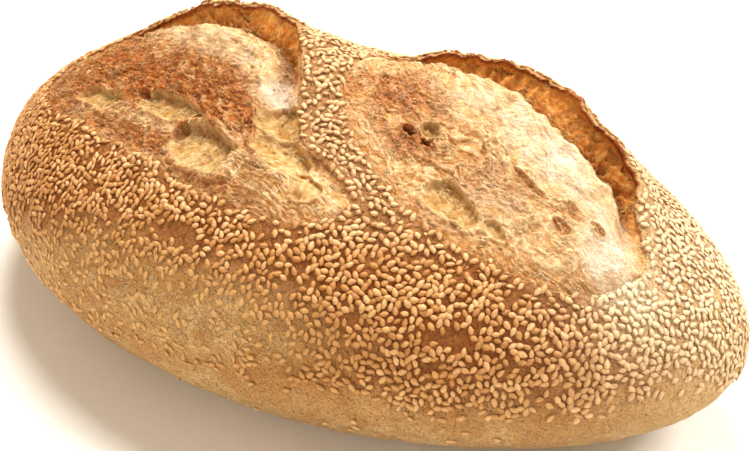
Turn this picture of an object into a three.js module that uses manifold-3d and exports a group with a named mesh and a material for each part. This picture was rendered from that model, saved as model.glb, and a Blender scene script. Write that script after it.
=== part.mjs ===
// A rustic bread loaf: an oval hearth loaf with a flat base, crusted with sesame, whose two long
// slashes have burst open. Each slash shows a swollen bloom of crumb that falls into a valley
// behind it, and the crust on the far side of the valley stands up as an ear with an undercut.
//
// Units are millimetres. +Z is up and z = 0 is the face that the loaf rests on. +X runs along the
// loaf and the ears are on the +Y side. The origin is the middle of the bounding box's floor.

import * as THREE from "three";
import { MeshSurfaceSampler } from "three/addons/math/MeshSurfaceSampler.js";
import { mergeVertices } from "three/addons/utils/BufferGeometryUtils.js";
import Module from "manifold-3d";

const wasm = await Module();
wasm.setup();

// ---------------------------------------------------------------- driving dimensions

const LENGTH = 280; // tip to tip, before the outline's lopsidedness
const WIDTH = 156; // across the belly
const BELLY = 34; // height of the widest girth above the base
const CROWN = 56; // rise of the smooth crown above the belly
const KEEL = 45.5; // how deep the lower half would reach if the base weren't flat

// Hand shaping: shares of the radius, by the harmonic that each one follows round the outline.
const SKEW = -0.045; // second harmonic, pulls two opposite shoulders in
const BLUNT_END = 0.031; // third harmonic along the loaf
const BLUNT_SIDE = 0.02; // third harmonic across it
const UNEVEN = 0.7; // slow dents and bulges of the crown
const UNEVEN_SCALE = 0.35; // their waves are this many times as fine as those of crag()

// Both slashes were cut at this angle to the loaf's length, in degrees.
const SLASH_ANGLE = -17;

// The left slash and the right one. Each has its middle, half its length, and how far the torn edges lie from the cut line on
// the near and the far side. An edge closes towards the ends as a power of 1 - s * s, and the far
// one also closes up by a share of itself towards the +X end.
// ear is the stretch of the far edge that stands up, and its height.
// swell is the oven spring under the slash: a broad hump with its own middle and sizes.
// pits are where the bloom's skin has sunk or torn.
const SLASHES = [
  {
    centre: [-41.4, -21.9],
    half: 74.3,
    near: { width: 22.7, power: 0.445 },
    far: { width: 39.9, power: 0.365, closing: { from: 0.09, to: 0.7, share: 0.79 } },
    ear: { from: -0.93, to: 0.45, lift: 2.6 },
    swell: { centre: [-40, 16], height: 14.5, length: 48, width: 22 },
    pits: [
      { s: -0.5, t: -10, length: 13, width: 4.5, depth: 1.5 },
      { s: -0.07, t: -5, length: 10.5, width: 5, depth: 2.4 },
      { s: 0.25, t: -12, length: 11.5, width: 6.5, depth: 3.2 },
      { s: 0.12, t: -12, length: 3.5, width: 5, depth: 1.5 },
    ],
  },
  {
    centre: [59.5, 0.3],
    half: 57,
    near: { width: 38, power: 0.49 },
    far: { width: 26.8, power: 0.43, closing: { from: 0.57, to: 0.97, share: 0.5 } },
    ear: { from: -0.97, to: 0.93, lift: 3.4 },
    swell: { centre: [59.5, 27], height: 16.4, length: 44, width: 28.5 },
    pits: [
      { s: -0.36, t: -19, length: 3.6, width: 3.6, depth: 2.4 },
      { s: -0.22, t: -19, length: 3.2, width: 4.2, depth: 2 },
      { s: 0.12, t: -29, length: 9, width: 5, depth: 1.6 },
      { s: 0.58, t: -5, length: 5, width: 3, depth: 1.2 },
    ],
  },
];

// Across a slash, shares from the near edge 0 to the far edge 1.
const BLOOM_FULL = 0.5; // the bloom has reached its full height
const VALLEY_BRINK = 0.75; // the bloom starts to fall into the valley behind it
const TROUGH_BRINK = 0.48; // the same where no ear stands, and the valley is a wide trough
const VALLEY_FLOOR = 0.845;
const WALL_FOOT = 0.87; // the torn crumb starts to climb to the ear

const BLOOM_RISE = 3; // bloom above the loaf's own surface
const VALLEY_DEPTH = 6.5; // valley floor below the crust, where an ear stands
const TROUGH_DEPTH = 2.6; // the same where none does
const WALL_TOP = 1.6; // torn crumb's upper end below the crust
const CRAG = 0.8; // height of the bloom's crags
const CRAG_SCALE = 1.5; // how much finer they are than the crown's own dents
const RIM_STEP = 1; // bloom's edge below the crust's edge
const RIM_TUCK = 1.5; // how far the bloom runs in under the crust
const RIM_SHARE = 0.05;
const EDGE_RAG = 0.9; // how much the torn edges wander
const EDGE_RAG_SCALE = 8;
const TRENCH_DEPTH = 9; // opening that the bloom fills
const TRENCH_ABOVE = 9; // how far above the crust it starts, over everything there
const TRENCH_SPAN = 0.985; // its share of the slash's length
const UNDERCUT = 5; // how far the ear's wall leans back at that depth
const BLOOM_UNDERCUT = 3.75; // how far the bloom follows it in under the ear
const BLOOM_ROOT = 24; // the bloom's block reaches this far down into the loaf
const EAR_REACH = 10; // from the ear's edge to where it has sunk into the crust behind
const EAR_THICK = 2.6; // crust and crumb of the lip
const EAR_FADE = 0.25; // length in s over which an ear dies away at each end
const EAR_STUB = 0.12; // share of its height that is left there
const EAR_RAG = 0.22; // share of its height that its edge wanders by
const EAR_RAG_SCALE = 1.9;

const SEED_LENGTH = 3.2;
const SEED_WIDTH = 2.1;
const SEED_THICK = 1.3;
const SEED_TAPER = 0.5; // how much broader and thicker the blunt end is than the pointed one
const SEED_VARIES = 0.08; // share of its size
const SEED_COUNT = 200;
const SEED_SPACING = 9.5; // least distance between two of the seeds that are modelled
const SEED_MARGIN = 2; // bare crust round a slash
const SEED_FLOOR = 9; // no seeds below this height
const RANDOM_SEED = 20240611;

// Facets.
const CRUST_AROUND = 64;
const CRUST_UP = 17;
const BLOOM_ALONG = 32;
const BLOOM_ACROSS = 15;
const TRENCH_ACROSS = 3;
const EAR_ALONG = 30;
const MERGE_BELOW = 0.12; // facets that lie this close to one plane are merged
const SEEDED_MERGE_BELOW = 0.015; // the same once the seeds are on

// ---------------------------------------------------------------- small helpers

const clamp01 = (v) => Math.min(1, Math.max(0, v));

function smoothstep(from, to, v) {
  const share = clamp01((v - from) / (to - from));
  return share * share * (3 - 2 * share);
}

function seededRandom(seed) {
  let state = seed >>> 0;
  return () => {
    state = (state + 0x6d2b79f5) >>> 0;
    let mixed = Math.imul(state ^ (state >>> 15), 1 | state);
    mixed = (mixed + Math.imul(mixed ^ (mixed >>> 7), 61 | mixed)) ^ mixed;
    return ((mixed ^ (mixed >>> 14)) >>> 0) / 4294967296;
  };
}

// Uneven relief from -1 to 1: crossing waves, so that it needs no table of random numbers.
function crag(x, y) {
  const broad = Math.sin(0.31 * x + 1.3 * Math.sin(0.17 * y + 0.6));
  const cross = Math.sin(0.43 * y - 0.21 * x + 1.7 * Math.sin(0.23 * x + 2.1));
  const fine = Math.sin(0.83 * x + 0.71 * y + 1.1 * Math.sin(0.39 * y));
  return 0.45 * broad + 0.35 * cross + 0.2 * fine;
}

// ---------------------------------------------------------------- the loaf's smooth surface

function outline(around) {
  return (
    1 +
    SKEW * Math.sin(2 * around) +
    BLUNT_END * Math.cos(3 * around) +
    BLUNT_SIDE * Math.sin(3 * around)
  );
}

const slashX = Math.cos(THREE.MathUtils.degToRad(SLASH_ANGLE));
const slashY = Math.sin(THREE.MathUtils.degToRad(SLASH_ANGLE));

// Oven spring at a point of the plan, for a surface that rises by `steepness` (1 at the crown).
function swelling(x, y, steepness) {
  let rise = 0;
  for (const { swell } of SLASHES) {
    const dx = x - swell.centre[0];
    const dy = y - swell.centre[1];
    const along = (dx * slashX + dy * slashY) / swell.length;
    const across = (dy * slashX - dx * slashY) / swell.width;
    rise += swell.height * Math.exp(-along * along - across * across);
  }
  rise += UNEVEN * crag(UNEVEN_SCALE * x, UNEVEN_SCALE * y);
  return rise * Math.sqrt(steepness);
}

// Height of the crown over a point of the plan.
function crownHeight(x, y) {
  const k = outline(Math.atan2(y / WIDTH, x / LENGTH));
  const radius = Math.hypot((2 * x) / (LENGTH * k), (2 * y) / (WIDTH * k));
  const rise = Math.sqrt(Math.max(0, 1 - radius * radius));
  return BELLY + CROWN * rise + swelling(x, y, rise);
}

function crownNormal(x, y) {
  const step = 0.5;
  const slopeX = crownHeight(x + step, y) - crownHeight(x - step, y);
  const slopeY = crownHeight(x, y + step) - crownHeight(x, y - step);
  return new THREE.Vector3(-slopeX, -slopeY, 2 * step).normalize();
}

// A point of the whole skin: around is the angle in plan, up runs from -pi/2 to pi/2.
function skinPoint(around, up) {
  const k = outline(around);
  const x = (LENGTH / 2) * k * Math.cos(up) * Math.cos(around);
  const y = (WIDTH / 2) * k * Math.cos(up) * Math.sin(around);
  const rise = Math.sin(up);
  if (rise < 0) return new THREE.Vector3(x, y, Math.max(0, BELLY + KEEL * rise));
  return new THREE.Vector3(x, y, BELLY + CROWN * rise + swelling(x, y, rise));
}

// ---------------------------------------------------------------- a slash's own coordinates

// s runs from -1 to 1 along the cut, t is the distance across it in mm, far side positive.
function slashPoint(slash, s, t) {
  const along = s * slash.half;
  return [
    slash.centre[0] + along * slashX - t * slashY,
    slash.centre[1] + along * slashY + t * slashX,
  ];
}

function slashCoordinates(slash, x, y) {
  const dx = x - slash.centre[0];
  const dy = y - slash.centre[1];
  return {
    s: (dx * slashX + dy * slashY) / slash.half,
    t: dy * slashX - dx * slashY,
  };
}

const taper = (s, power) => Math.pow(Math.max(0, 1 - s * s), power);

function nearEdge({ near }, s) {
  const wander = EDGE_RAG * crag(EDGE_RAG_SCALE * s * near.width, 4) * taper(s, 1);
  return wander - near.width * taper(s, near.power);
}

function farEdge({ far }, s) {
  const { from, to, share } = far.closing;
  const open = 1 - share * smoothstep(from, to, s);
  const wander = 0.5 * EDGE_RAG * crag(EDGE_RAG_SCALE * s * far.width, 11) * taper(s, 1);
  return far.width * taper(s, far.power) * open + wander;
}

// 1 along the middle of the ear, 0 where it has died away.
function earStrength({ ear }, s) {
  const grows = smoothstep(ear.from, ear.from + EAR_FADE, s);
  return grows * (1 - smoothstep(ear.to - EAR_FADE, ear.to, s));
}

// Height of the bloom over the loaf's smooth surface, at a share of the way across the slash.
function bloomRelief(slash, s, share, t) {
  const ear = earStrength(slash, s);
  const strength = taper(s, 0.5);
  const brink = THREE.MathUtils.lerp(TROUGH_BRINK, VALLEY_BRINK, ear);
  const depth = THREE.MathUtils.lerp(TROUGH_DEPTH, VALLEY_DEPTH, ear) * strength;
  const swollen = smoothstep(0, BLOOM_FULL, share);
  const fallen = smoothstep(brink, VALLEY_FLOOR, share);
  const climbed = smoothstep(WALL_FOOT, 1, share);
  const wallTop = WALL_TOP * strength * climbed;
  let height = BLOOM_RISE * strength * swollen * (1 - fallen);
  height -= depth * fallen * (1 - climbed) + wallTop;
  for (const pit of slash.pits) {
    const along = ((s - pit.s) * slash.half) / pit.length;
    const across = (t - pit.t) / pit.width;
    height -= pit.depth * Math.exp(-Math.pow(along * along + across * across, 2));
  }
  const [x, y] = slashPoint(slash, s, t);
  height += CRAG * crag(CRAG_SCALE * x, CRAG_SCALE * y) * strength * swollen;
  const rim = Math.max(smoothstep(RIM_SHARE, 0, share), smoothstep(1 - RIM_SHARE, 1, share));
  return THREE.MathUtils.lerp(height, -RIM_STEP - wallTop, rim);
}

// ---------------------------------------------------------------- closed meshes

// A closed skin over a grid of points, rows[j][i]: the rows wrap round, and the first and the
// last row are closed by a fan.
function closedRows(rows) {
  const count = rows[0].length;
  const points = rows.flat();
  const index = [];
  for (let j = 0; j + 1 < rows.length; j++)
    for (let i = 0; i < count; i++) {
      const next = (i + 1) % count;
      const [a, b] = [j * count + i, j * count + next];
      const [c, d] = [a + count, b + count];
      index.push(a, b, d, a, d, c);
    }
  const addFan = (row, flip) => {
    const middle = new THREE.Vector3();
    for (const p of rows[row]) middle.addScaledVector(p, 1 / count);
    const hub = points.push(middle) - 1;
    for (let i = 0; i < count; i++) {
      const [a, b] = [row * count + i, row * count + ((i + 1) % count)];
      index.push(...(flip ? [a, b, hub] : [b, a, hub]));
    }
  };
  addFan(0, false);
  addFan(rows.length - 1, true);
  return new THREE.BufferGeometry().setFromPoints(points).setIndex(index);
}

// A closed block between two sheets of points, top[i][j] and floor[i][j].
function closedBlock(top, floor) {
  const across = top[0].length;
  const points = [...top.flat(), ...floor.flat()];
  const floorStart = top.length * across;
  const index = [];
  const quad = (a, b, c, d) => index.push(a, b, c, a, c, d);
  const at = (i, j) => i * across + j;
  for (let i = 0; i + 1 < top.length; i++)
    for (let j = 0; j + 1 < across; j++) {
      const corners = [at(i, j), at(i + 1, j), at(i + 1, j + 1), at(i, j + 1)];
      quad(...corners);
      quad(...corners.reverse().map((corner) => corner + floorStart));
    }
  const wall = (a, b) => quad(a, b, b + floorStart, a + floorStart);
  for (let i = 0; i + 1 < top.length; i++) {
    wall(at(i + 1, 0), at(i, 0));
    wall(at(i, across - 1), at(i + 1, across - 1));
  }
  for (let j = 0; j + 1 < across; j++) {
    wall(at(0, j), at(0, j + 1));
    wall(at(top.length - 1, j + 1), at(top.length - 1, j));
  }
  return new THREE.BufferGeometry().setFromPoints(points).setIndex(index);
}

function toSolid(geometry) {
  const bare = geometry.clone();
  bare.deleteAttribute("normal");
  bare.deleteAttribute("uv");
  const merged = mergeVertices(bare, 1e-4);
  return new wasm.Manifold(
    new wasm.Mesh({
      numProp: 3,
      vertProperties: merged.getAttribute("position").array,
      triVerts: new Uint32Array(merged.index.array),
    }),
  );
}

function toGeometry(solid) {
  const { vertProperties, triVerts, numProp } = solid.getMesh();
  const positions = new Float32Array((vertProperties.length / numProp) * 3);
  for (let i = 0; i * numProp < vertProperties.length; i++)
    positions.set(vertProperties.subarray(i * numProp, i * numProp + 3), i * 3);
  return new THREE.BufferGeometry()
    .setAttribute("position", new THREE.BufferAttribute(positions, 3))
    .setIndex(new THREE.BufferAttribute(triVerts, 1));
}

// The solid itself, without the specks of air that its pieces shut in where they overlap.
function withoutPockets(solid) {
  return solid.decompose().reduce((a, b) => (a.volume() > b.volume() ? a : b));
}

// ---------------------------------------------------------------- the loaf's pieces

// The crust: from the edge of the flat base up to the crown.
function crustGeometry() {
  const base = -Math.asin(BELLY / KEEL);
  const rows = [];
  for (let j = 0; j < CRUST_UP; j++) {
    const up = THREE.MathUtils.lerp(base, Math.PI / 2, j / CRUST_UP);
    const row = [];
    for (let i = 0; i < CRUST_AROUND; i++)
      row.push(skinPoint((i / CRUST_AROUND) * 2 * Math.PI, up));
    rows.push(row);
  }
  return closedRows(rows);
}

// A point of a slash at a height over the smooth crown, measured square to it.
function overCrown(slash, s, t, height) {
  const [x, y] = slashPoint(slash, s, t);
  const point = new THREE.Vector3(x, y, crownHeight(x, y));
  return point.addScaledVector(crownNormal(x, y), height);
}

// Steps from -1 to 1 along a slash, close together at its ends, where its edges turn fastest.
const alongShare = (i, count) => -Math.cos((i / count) * Math.PI);

// What the burst slash takes out of the crust. Its far wall leans back under the ear.
function trenchGeometry(slash) {
  const sheet = (height) => {
    const lean = (-height / TRENCH_DEPTH) * UNDERCUT;
    const rows = [];
    for (let i = 0; i <= BLOOM_ALONG; i++) {
      const s = alongShare(i, BLOOM_ALONG) * TRENCH_SPAN;
      const from = nearEdge(slash, s);
      const to = Math.max(farEdge(slash, s) + lean * earStrength(slash, s), from + 1);
      const row = [];
      for (let j = 0; j <= TRENCH_ACROSS; j++)
        row.push(overCrown(slash, s, from + (to - from) * (j / TRENCH_ACROSS), height));
      rows.push(row);
    }
    return rows;
  };
  return closedBlock(sheet(TRENCH_ABOVE), sheet(-TRENCH_DEPTH));
}

// The bloom, the valley and the crumb under the ear, on a block rooted in the loaf.
function bloomGeometry(slash) {
  const top = [];
  const floor = [];
  for (let i = 0; i <= BLOOM_ALONG; i++) {
    const reach = alongShare(i, BLOOM_ALONG) * (1 + RIM_TUCK / slash.half);
    const s = THREE.MathUtils.clamp(reach, -1, 1);
    const from = nearEdge(slash, s) - RIM_TUCK;
    const to = farEdge(slash, s) + RIM_TUCK + BLOOM_UNDERCUT * earStrength(slash, s);
    const topRow = [];
    const floorRow = [];
    for (let j = 0; j <= BLOOM_ACROSS; j++) {
      const share = j / BLOOM_ACROSS;
      const t = from + (to - from) * share;
      topRow.push(overCrown(slash, reach, t, bloomRelief(slash, s, share, t)));
      floorRow.push(overCrown(slash, reach, t, -BLOOM_ROOT));
    }
    top.push(topRow);
    floor.push(floorRow);
  }
  return closedBlock(top, floor);
}

// The lip of crust along the far edge. Its section is a hook that thins to a sharp, uneven edge:
// each corner has its distance behind the edge in mm and its height as a share of the lift.
function earGeometry(slash) {
  const section = [
    [1.5, 1 - EAR_THICK / slash.ear.lift],
    [EAR_REACH * 0.55, -1.1],
    [EAR_REACH, -0.9],
    [EAR_REACH * 0.7, 0.3],
    [2.5, 0.95],
    [-1.2, 1],
  ];
  const rows = [];
  for (let i = 0; i <= EAR_ALONG; i++) {
    const s = slash.ear.from + (slash.ear.to - slash.ear.from) * (i / EAR_ALONG);
    const strength = THREE.MathUtils.lerp(EAR_STUB, 1, earStrength(slash, s));
    const ragged = 1 + EAR_RAG * crag(EAR_RAG_SCALE * s * slash.half, 3);
    rows.push(
      section.map(([behind, height]) => {
        const t = farEdge(slash, s) + (behind * (1 + strength)) / 2;
        return overCrown(slash, s, t, height * slash.ear.lift * strength * ragged);
      }),
    );
  }
  return closedRows(rows);
}

function insideSlash(x, y, margin) {
  return SLASHES.some((slash) => {
    const { s, t } = slashCoordinates(slash, x, y);
    if (Math.abs(s) >= 1 + margin / slash.half) return false;
    const along = THREE.MathUtils.clamp(s, -1, 1);
    return t > nearEdge(slash, along) - margin && t < farEdge(slash, along) + margin;
  });
}

// One sesame seed lying along X: a flattened drop, blunt at one end.
function seedGeometry() {
  const drop = new THREE.SphereGeometry(0.5, 6, 2);
  drop.rotateZ(Math.PI / 2);
  const position = drop.getAttribute("position");
  for (let i = 0; i < position.count; i++) {
    const [x, y, z] = [position.getX(i), position.getY(i), position.getZ(i)];
    const blunt = 1 + SEED_TAPER * x;
    position.setXYZ(i, x * SEED_LENGTH, y * SEED_WIDTH * blunt, z * SEED_THICK * blunt);
  }
  return drop;
}

// Seeds spread evenly over the crust, each lying flat on it at its own angle.
function seedSolids(loaf) {
  const random = seededRandom(RANDOM_SEED);
  const skin = toGeometry(loaf).toNonIndexed();
  skin.computeVertexNormals();
  const sampler = new MeshSurfaceSampler(new THREE.Mesh(skin));
  sampler.setRandomGenerator(random).build();
  const seed = seedGeometry();
  const placed = [];
  const solids = [];
  const position = new THREE.Vector3();
  const normal = new THREE.Vector3();
  for (let tries = 0; solids.length < SEED_COUNT && tries < 40 * SEED_COUNT; tries++) {
    sampler.sample(position, normal);
    const spin = random() * 2 * Math.PI;
    const size = 1 + SEED_VARIES * (2 * random() - 1);
    if (position.z < SEED_FLOOR || insideSlash(position.x, position.y, SEED_MARGIN)) continue;
    if (placed.some((other) => other.distanceTo(position) < SEED_SPACING)) continue;
    placed.push(position.clone());
    const flat = new THREE.Quaternion();
    flat.setFromUnitVectors(new THREE.Vector3(0, 0, 1), normal);
    flat.multiply(new THREE.Quaternion().setFromAxisAngle(new THREE.Vector3(0, 0, 1), spin));
    const matrix = new THREE.Matrix4().compose(
      position,
      flat,
      new THREE.Vector3(size, size, size),
    );
    solids.push(toSolid(seed.clone().applyMatrix4(matrix)));
  }
  return solids;
}

// ---------------------------------------------------------------- assembly

let loaf = toSolid(crustGeometry());
for (const slash of SLASHES) {
  loaf = loaf.subtract(toSolid(trenchGeometry(slash)));
  loaf = loaf.add(toSolid(bloomGeometry(slash)));
  loaf = loaf.add(toSolid(earGeometry(slash)));
}
loaf = withoutPockets(loaf.simplify(MERGE_BELOW));
for (const seed of seedSolids(loaf)) loaf = loaf.add(seed);
loaf = withoutPockets(loaf.simplify(SEEDED_MERGE_BELOW));

const geometry = toGeometry(loaf);
geometry.computeBoundingBox();
const box = geometry.boundingBox;
geometry.translate(-(box.min.x + box.max.x) / 2, -(box.min.y + box.max.y) / 2, 0);

const crust = new THREE.MeshStandardMaterial({
  color: 0xc98a4b,
  roughness: 0.78,
  metalness: 0,
});

const loafMesh = new THREE.Mesh(geometry, crust);
loafMesh.name = "loaf";

const bread = new THREE.Group();
bread.add(loafMesh);

export default bread;
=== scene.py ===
"""A rustic bread loaf, crusted with sesame, whose two long slashes have burst open.

The shapes are worked out in millimetres from the loaf's own rules, the same as in its solids, and
to_scene() turns them to metres. Every piece is one closed mesh:

  crust       the baked skin from the flat base to the crown
  bloom_left  the torn crumb that swelled out of each slash, with the valley behind it
  bloom_right
  lips        the torn edge of the crust round each slash, which stands up as an ear behind it
  seeds_*     the sesame, scattered by Geometry Nodes
  flakes, strands  crisp scraps and threads of crumb, scattered the same way
"""

import itertools
import math

import bpy
import numpy as np
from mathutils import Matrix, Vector


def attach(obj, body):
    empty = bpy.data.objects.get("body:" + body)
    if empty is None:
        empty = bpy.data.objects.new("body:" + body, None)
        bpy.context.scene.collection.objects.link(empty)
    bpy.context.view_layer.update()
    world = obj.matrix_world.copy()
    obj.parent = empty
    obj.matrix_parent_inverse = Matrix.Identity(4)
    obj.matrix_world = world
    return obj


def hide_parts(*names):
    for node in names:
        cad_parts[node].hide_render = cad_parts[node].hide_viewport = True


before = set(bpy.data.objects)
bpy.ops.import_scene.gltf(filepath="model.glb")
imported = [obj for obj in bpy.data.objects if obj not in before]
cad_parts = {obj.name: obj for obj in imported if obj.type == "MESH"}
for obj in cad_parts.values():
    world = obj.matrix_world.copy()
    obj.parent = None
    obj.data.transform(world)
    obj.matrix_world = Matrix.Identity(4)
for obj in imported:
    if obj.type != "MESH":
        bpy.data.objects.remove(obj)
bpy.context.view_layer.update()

# ---------------------------------------------------------------- sizes, in millimetres

LENGTH = 280
WIDTH = 156
BELLY = 34
CROWN = 56
KEEL = 45.5
SKEW = -0.045
BLUNT_END = 0.031
BLUNT_SIDE = 0.02
UNEVEN = 0.7
UNEVEN_SCALE = 0.35

SLASH_ANGLE = math.radians(-17)
SLASHES = {
    "left": {
        "centre": (-41.4, -21.9),
        "half": 74.3,
        "near": {"width": 22.7, "power": 0.445},
        "far": {"width": 39.9, "power": 0.365, "closing": (0.09, 0.7, 0.79)},
        "ear": {"from": -0.93, "to": 0.45, "lift": 2.6},
        "swell": {"centre": (-40, 16), "height": 14.5, "length": 48, "width": 22},
    },
    "right": {
        "centre": (59.5, 0.3),
        "half": 57,
        "near": {"width": 38, "power": 0.49},
        "far": {"width": 26.8, "power": 0.43, "closing": (0.57, 0.97, 0.5)},
        "ear": {"from": -0.97, "to": 0.93, "lift": 3.4},
        "swell": {"centre": (59.5, 27), "height": 16.4, "length": 44, "width": 28.5},
    },
}

# Marks on the blooms: s along the slash from -1 to 1, t across it, half their length and half
# their width. A window is a burst bubble whose thin skin is left. Windows and holes end with
# their depth, and flour and toast with their strength.
WINDOWS = {
    "left": [
        (-0.5, -10, 12, 3.8, 1.8),
        (-0.04, -4.5, 13, 5, 2.4),
        (0.27, -11.5, 13.5, 7, 2.8),
        (0.47, 10, 8, 6, 1.4),
        (0.62, 1, 11, 6, 1.6),
        (0.8, -3, 7, 4, 1.2),
    ],
    "right": [
        (0.12, -29, 9.5, 4.6, 1.5),
        (-0.27, -15.5, 3.6, 2.6, 1.6),
        (0.38, -26, 4, 2.4, 1.2),
    ],
}
HOLES = {
    "left": [
        (-0.23, -4, 2.6, 1.7, 2.2),
        (0.12, -11, 2.2, 4, 2),
        (-0.3, 24, 3, 1.6, 1.5),
    ],
    "right": [
        (-0.37, -19, 3.4, 1.6, 2.8),
        (-0.24, -18.6, 2.4, 2, 2.4),
        (0.58, -5, 3.4, 2.2, 0.5),
        (0.32, -8.5, 7, 1.1, 0.5),
        (0.72, -3, 2.4, 1.5, 0.35),
        (0.6, -11, 2.8, 1.6, 0.4),
        (0.2, -33, 2, 1.2, 1.4),
    ],
}
FLOURED = {
    "left": [
        (0.34, 17, 9, 7, 1),
        (-0.12, 20.5, 33, 4.6, 0.55),
        (0.25, -17.5, 9, 1.6, 0.6),
    ],
    "right": [
        (0.36, 3.5, 36, 9, 0.8),
        (0.82, -5, 14, 10, 1),
        (-0.2, 4, 13, 7, 0.6),
        (0.45, -20, 22, 10, 0.3),
    ],
}
# Flour that fell on the seeds beyond the right slash: s, t and its reach.
FLOUR_SPILL = (0.99, -6, 10)
TOASTED = {
    "left": [
        (-0.08, 3, 46, 14, 1.3),
        (-0.66, 2, 28, 21, 1.2),
        (0.02, -17, 44, 4, 0.9),
    ],
    "right": [
        (-0.62, -10, 17, 13, 0.8),
        (-0.3, -22, 14, 6, 0.7),
        (0.1, -17, 20, 8, 0.3),
        (0.86, -16, 8, 12, 0.2),
    ],
}

# Across a slash, shares from the near edge 0 to the far edge 1.
BLOOM_FULL = 0.5
VALLEY_BRINK = 0.68
TROUGH_BRINK = 0.48
VALLEY_FLOOR = 0.83
WALL_FOOT = 0.85
WALL_HEAD = 0.95
BLOOM_RISE = 3
VALLEY_DEPTH = 7.2
TROUGH_DEPTH = 2.6
WALL_TOP = 1.6
EAR_WALL_TOP = -1.5
CRAG = 0.8
CRAG_SCALE = 1.5
RIM_STEP = 0.35
RIM_TUCK = 1.5
RIM_SHARE = 0.05
EDGE_RAG = 0.9
EDGE_RAG_SCALE = 8
NEAR_EDGE_ROW = 4.0
FAR_EDGE_ROW = 11.0
TORN_RAG = 1.6
# Noise along the torn edges: the length of its lumps in mm, its layers and its salt.
TORN_NEAR = (8, 3, 60)
TORN_FAR = (8, 3, 61)
FAR_CALMER = 0.5
FAR_TORN = 0.55
BLOOM_UNDERCUT = 3.75
FOOT_DEPTH = 16.0
MIDDLE_DEPTH = 34.0
EAR_REACH = 10
EAR_FADE = 0.25

SEED_LENGTH = 3.2
SEED_WIDTH = 1.95
SEED_THICK = 1.15

# Grids: cells across the crust, points along and across each bloom, mm between the lips' sections.
CRUST_GRID = 306
BLOOM_GRID = {"left": (400, 222), "right": (350, 252)}
LIP_STEP = 0.42
EDGE_STEPS = 1600

MM = 0.001

# ---------------------------------------------------------------- noise

# How a cell's whole numbers are mixed into one that looks random.
CELL_STEPS = (73856093, 19349663, 83492791)
SALT_STEP = 2654435761
MIXER = 0x45D9F3B
MIX_SHIFT = 16
MIX_TURNS = 2
LAST_NUMBER = 0xFFFFFFFF


def smoothstep(low, high, value):
    share = np.clip((value - low) / (high - low), 0, 1)
    return share * share * (3 - 2 * share)


def lerp(a, b, share):
    return a + (b - a) * share


def lattice(cell, salt):
    """One random number from 0 to 1 for each whole-numbered cell [..., 3]."""
    x, y, z = (cell[..., axis] * step for axis, step in enumerate(CELL_STEPS))
    mixed = (x ^ y ^ z ^ (salt * SALT_STEP)) & LAST_NUMBER
    for _ in range(MIX_TURNS):
        mixed = ((mixed ^ (mixed >> MIX_SHIFT)) * MIXER) & LAST_NUMBER
    return (mixed ^ (mixed >> MIX_SHIFT)) / (LAST_NUMBER + 1)


def lumps(points, size, salt):
    """Smooth noise from -1 to 1 with lumps of a size in mm, which may differ by axis."""
    scaled = points / size
    cell = np.floor(scaled).astype(np.int64)
    inside = scaled - cell
    ease = inside * inside * (3 - 2 * inside)
    total = 0
    for corner in itertools.product((0, 1), repeat=3):
        weight = 1
        for axis, far in enumerate(corner):
            weight = weight * (ease[..., axis] if far else 1 - ease[..., axis])
        total = total + weight * lattice(cell + np.array(corner), salt)
    return 2 * total - 1


def layered(points, size, layers, salt):
    """Lumps with ever finer ones on them."""
    size = np.asarray(size, float)
    total = sum(lumps(points, size / 2**n, salt + n) / 2**n for n in range(layers))
    return total / (2 - 2 ** (1 - layers))


def ridges(points, size, layers, salt):
    """Sharp crests from 0 to 1, as of torn threads."""
    size = np.asarray(size, float)
    total = sum((1 - np.abs(lumps(points, size / 2**n, salt + n))) / 2**n for n in range(layers))
    return total / (2 - 2 ** (1 - layers))


def bubbles(points, size, salt):
    """Distance to the nearest bubble's middle, as a share of the size."""
    scaled = points / size
    cell = np.floor(scaled).astype(np.int64)
    nearest = np.full(points.shape[:-1], np.inf)
    for step in itertools.product((-1, 0, 1), (-1, 0, 1), (0,)):
        other = cell + np.array(step)
        dx = other[..., 0] + lattice(other, salt) - scaled[..., 0]
        dy = other[..., 1] + lattice(other, salt + 1) - scaled[..., 1]
        nearest = np.minimum(nearest, np.hypot(dx, dy))
    return nearest


# ---------------------------------------------------------------- the loaf's smooth surface

ALONG_X = math.cos(SLASH_ANGLE)
ALONG_Y = math.sin(SLASH_ANGLE)


# The crossing waves that make the crags, the same as in the solids: the share of each, how fast
# it turns along x and y, then how strong the bend in it is, how fast that turns and its start.
CRAG_WAVES = [
    (0.45, (0.31, 0), 1.3, (0, 0.17), 0.6),
    (0.35, (-0.21, 0.43), 1.7, (0.23, 0), 2.1),
    (0.2, (0.83, 0.71), 1.1, (0, 0.39), 0),
]


def crag(x, y):
    """Uneven relief from -1 to 1 of crossing waves."""
    total = 0
    for part, turn, bend, bend_turn, start in CRAG_WAVES:
        bent = bend * np.sin(bend_turn[0] * x + bend_turn[1] * y + start)
        total = total + part * np.sin(turn[0] * x + turn[1] * y + bent)
    return total


def outline(around):
    return (
        1
        + SKEW * np.sin(2 * around)
        + BLUNT_END * np.cos(3 * around)
        + BLUNT_SIDE * np.sin(3 * around)
    )


def swelling(x, y, steepness):
    rise = UNEVEN * crag(UNEVEN_SCALE * x, UNEVEN_SCALE * y)
    for slash in SLASHES.values():
        swell = slash["swell"]
        dx = x - swell["centre"][0]
        dy = y - swell["centre"][1]
        along = (dx * ALONG_X + dy * ALONG_Y) / swell["length"]
        across = (dy * ALONG_X - dx * ALONG_Y) / swell["width"]
        rise = rise + swell["height"] * np.exp(-along * along - across * across)
    return rise * np.sqrt(steepness)


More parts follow.
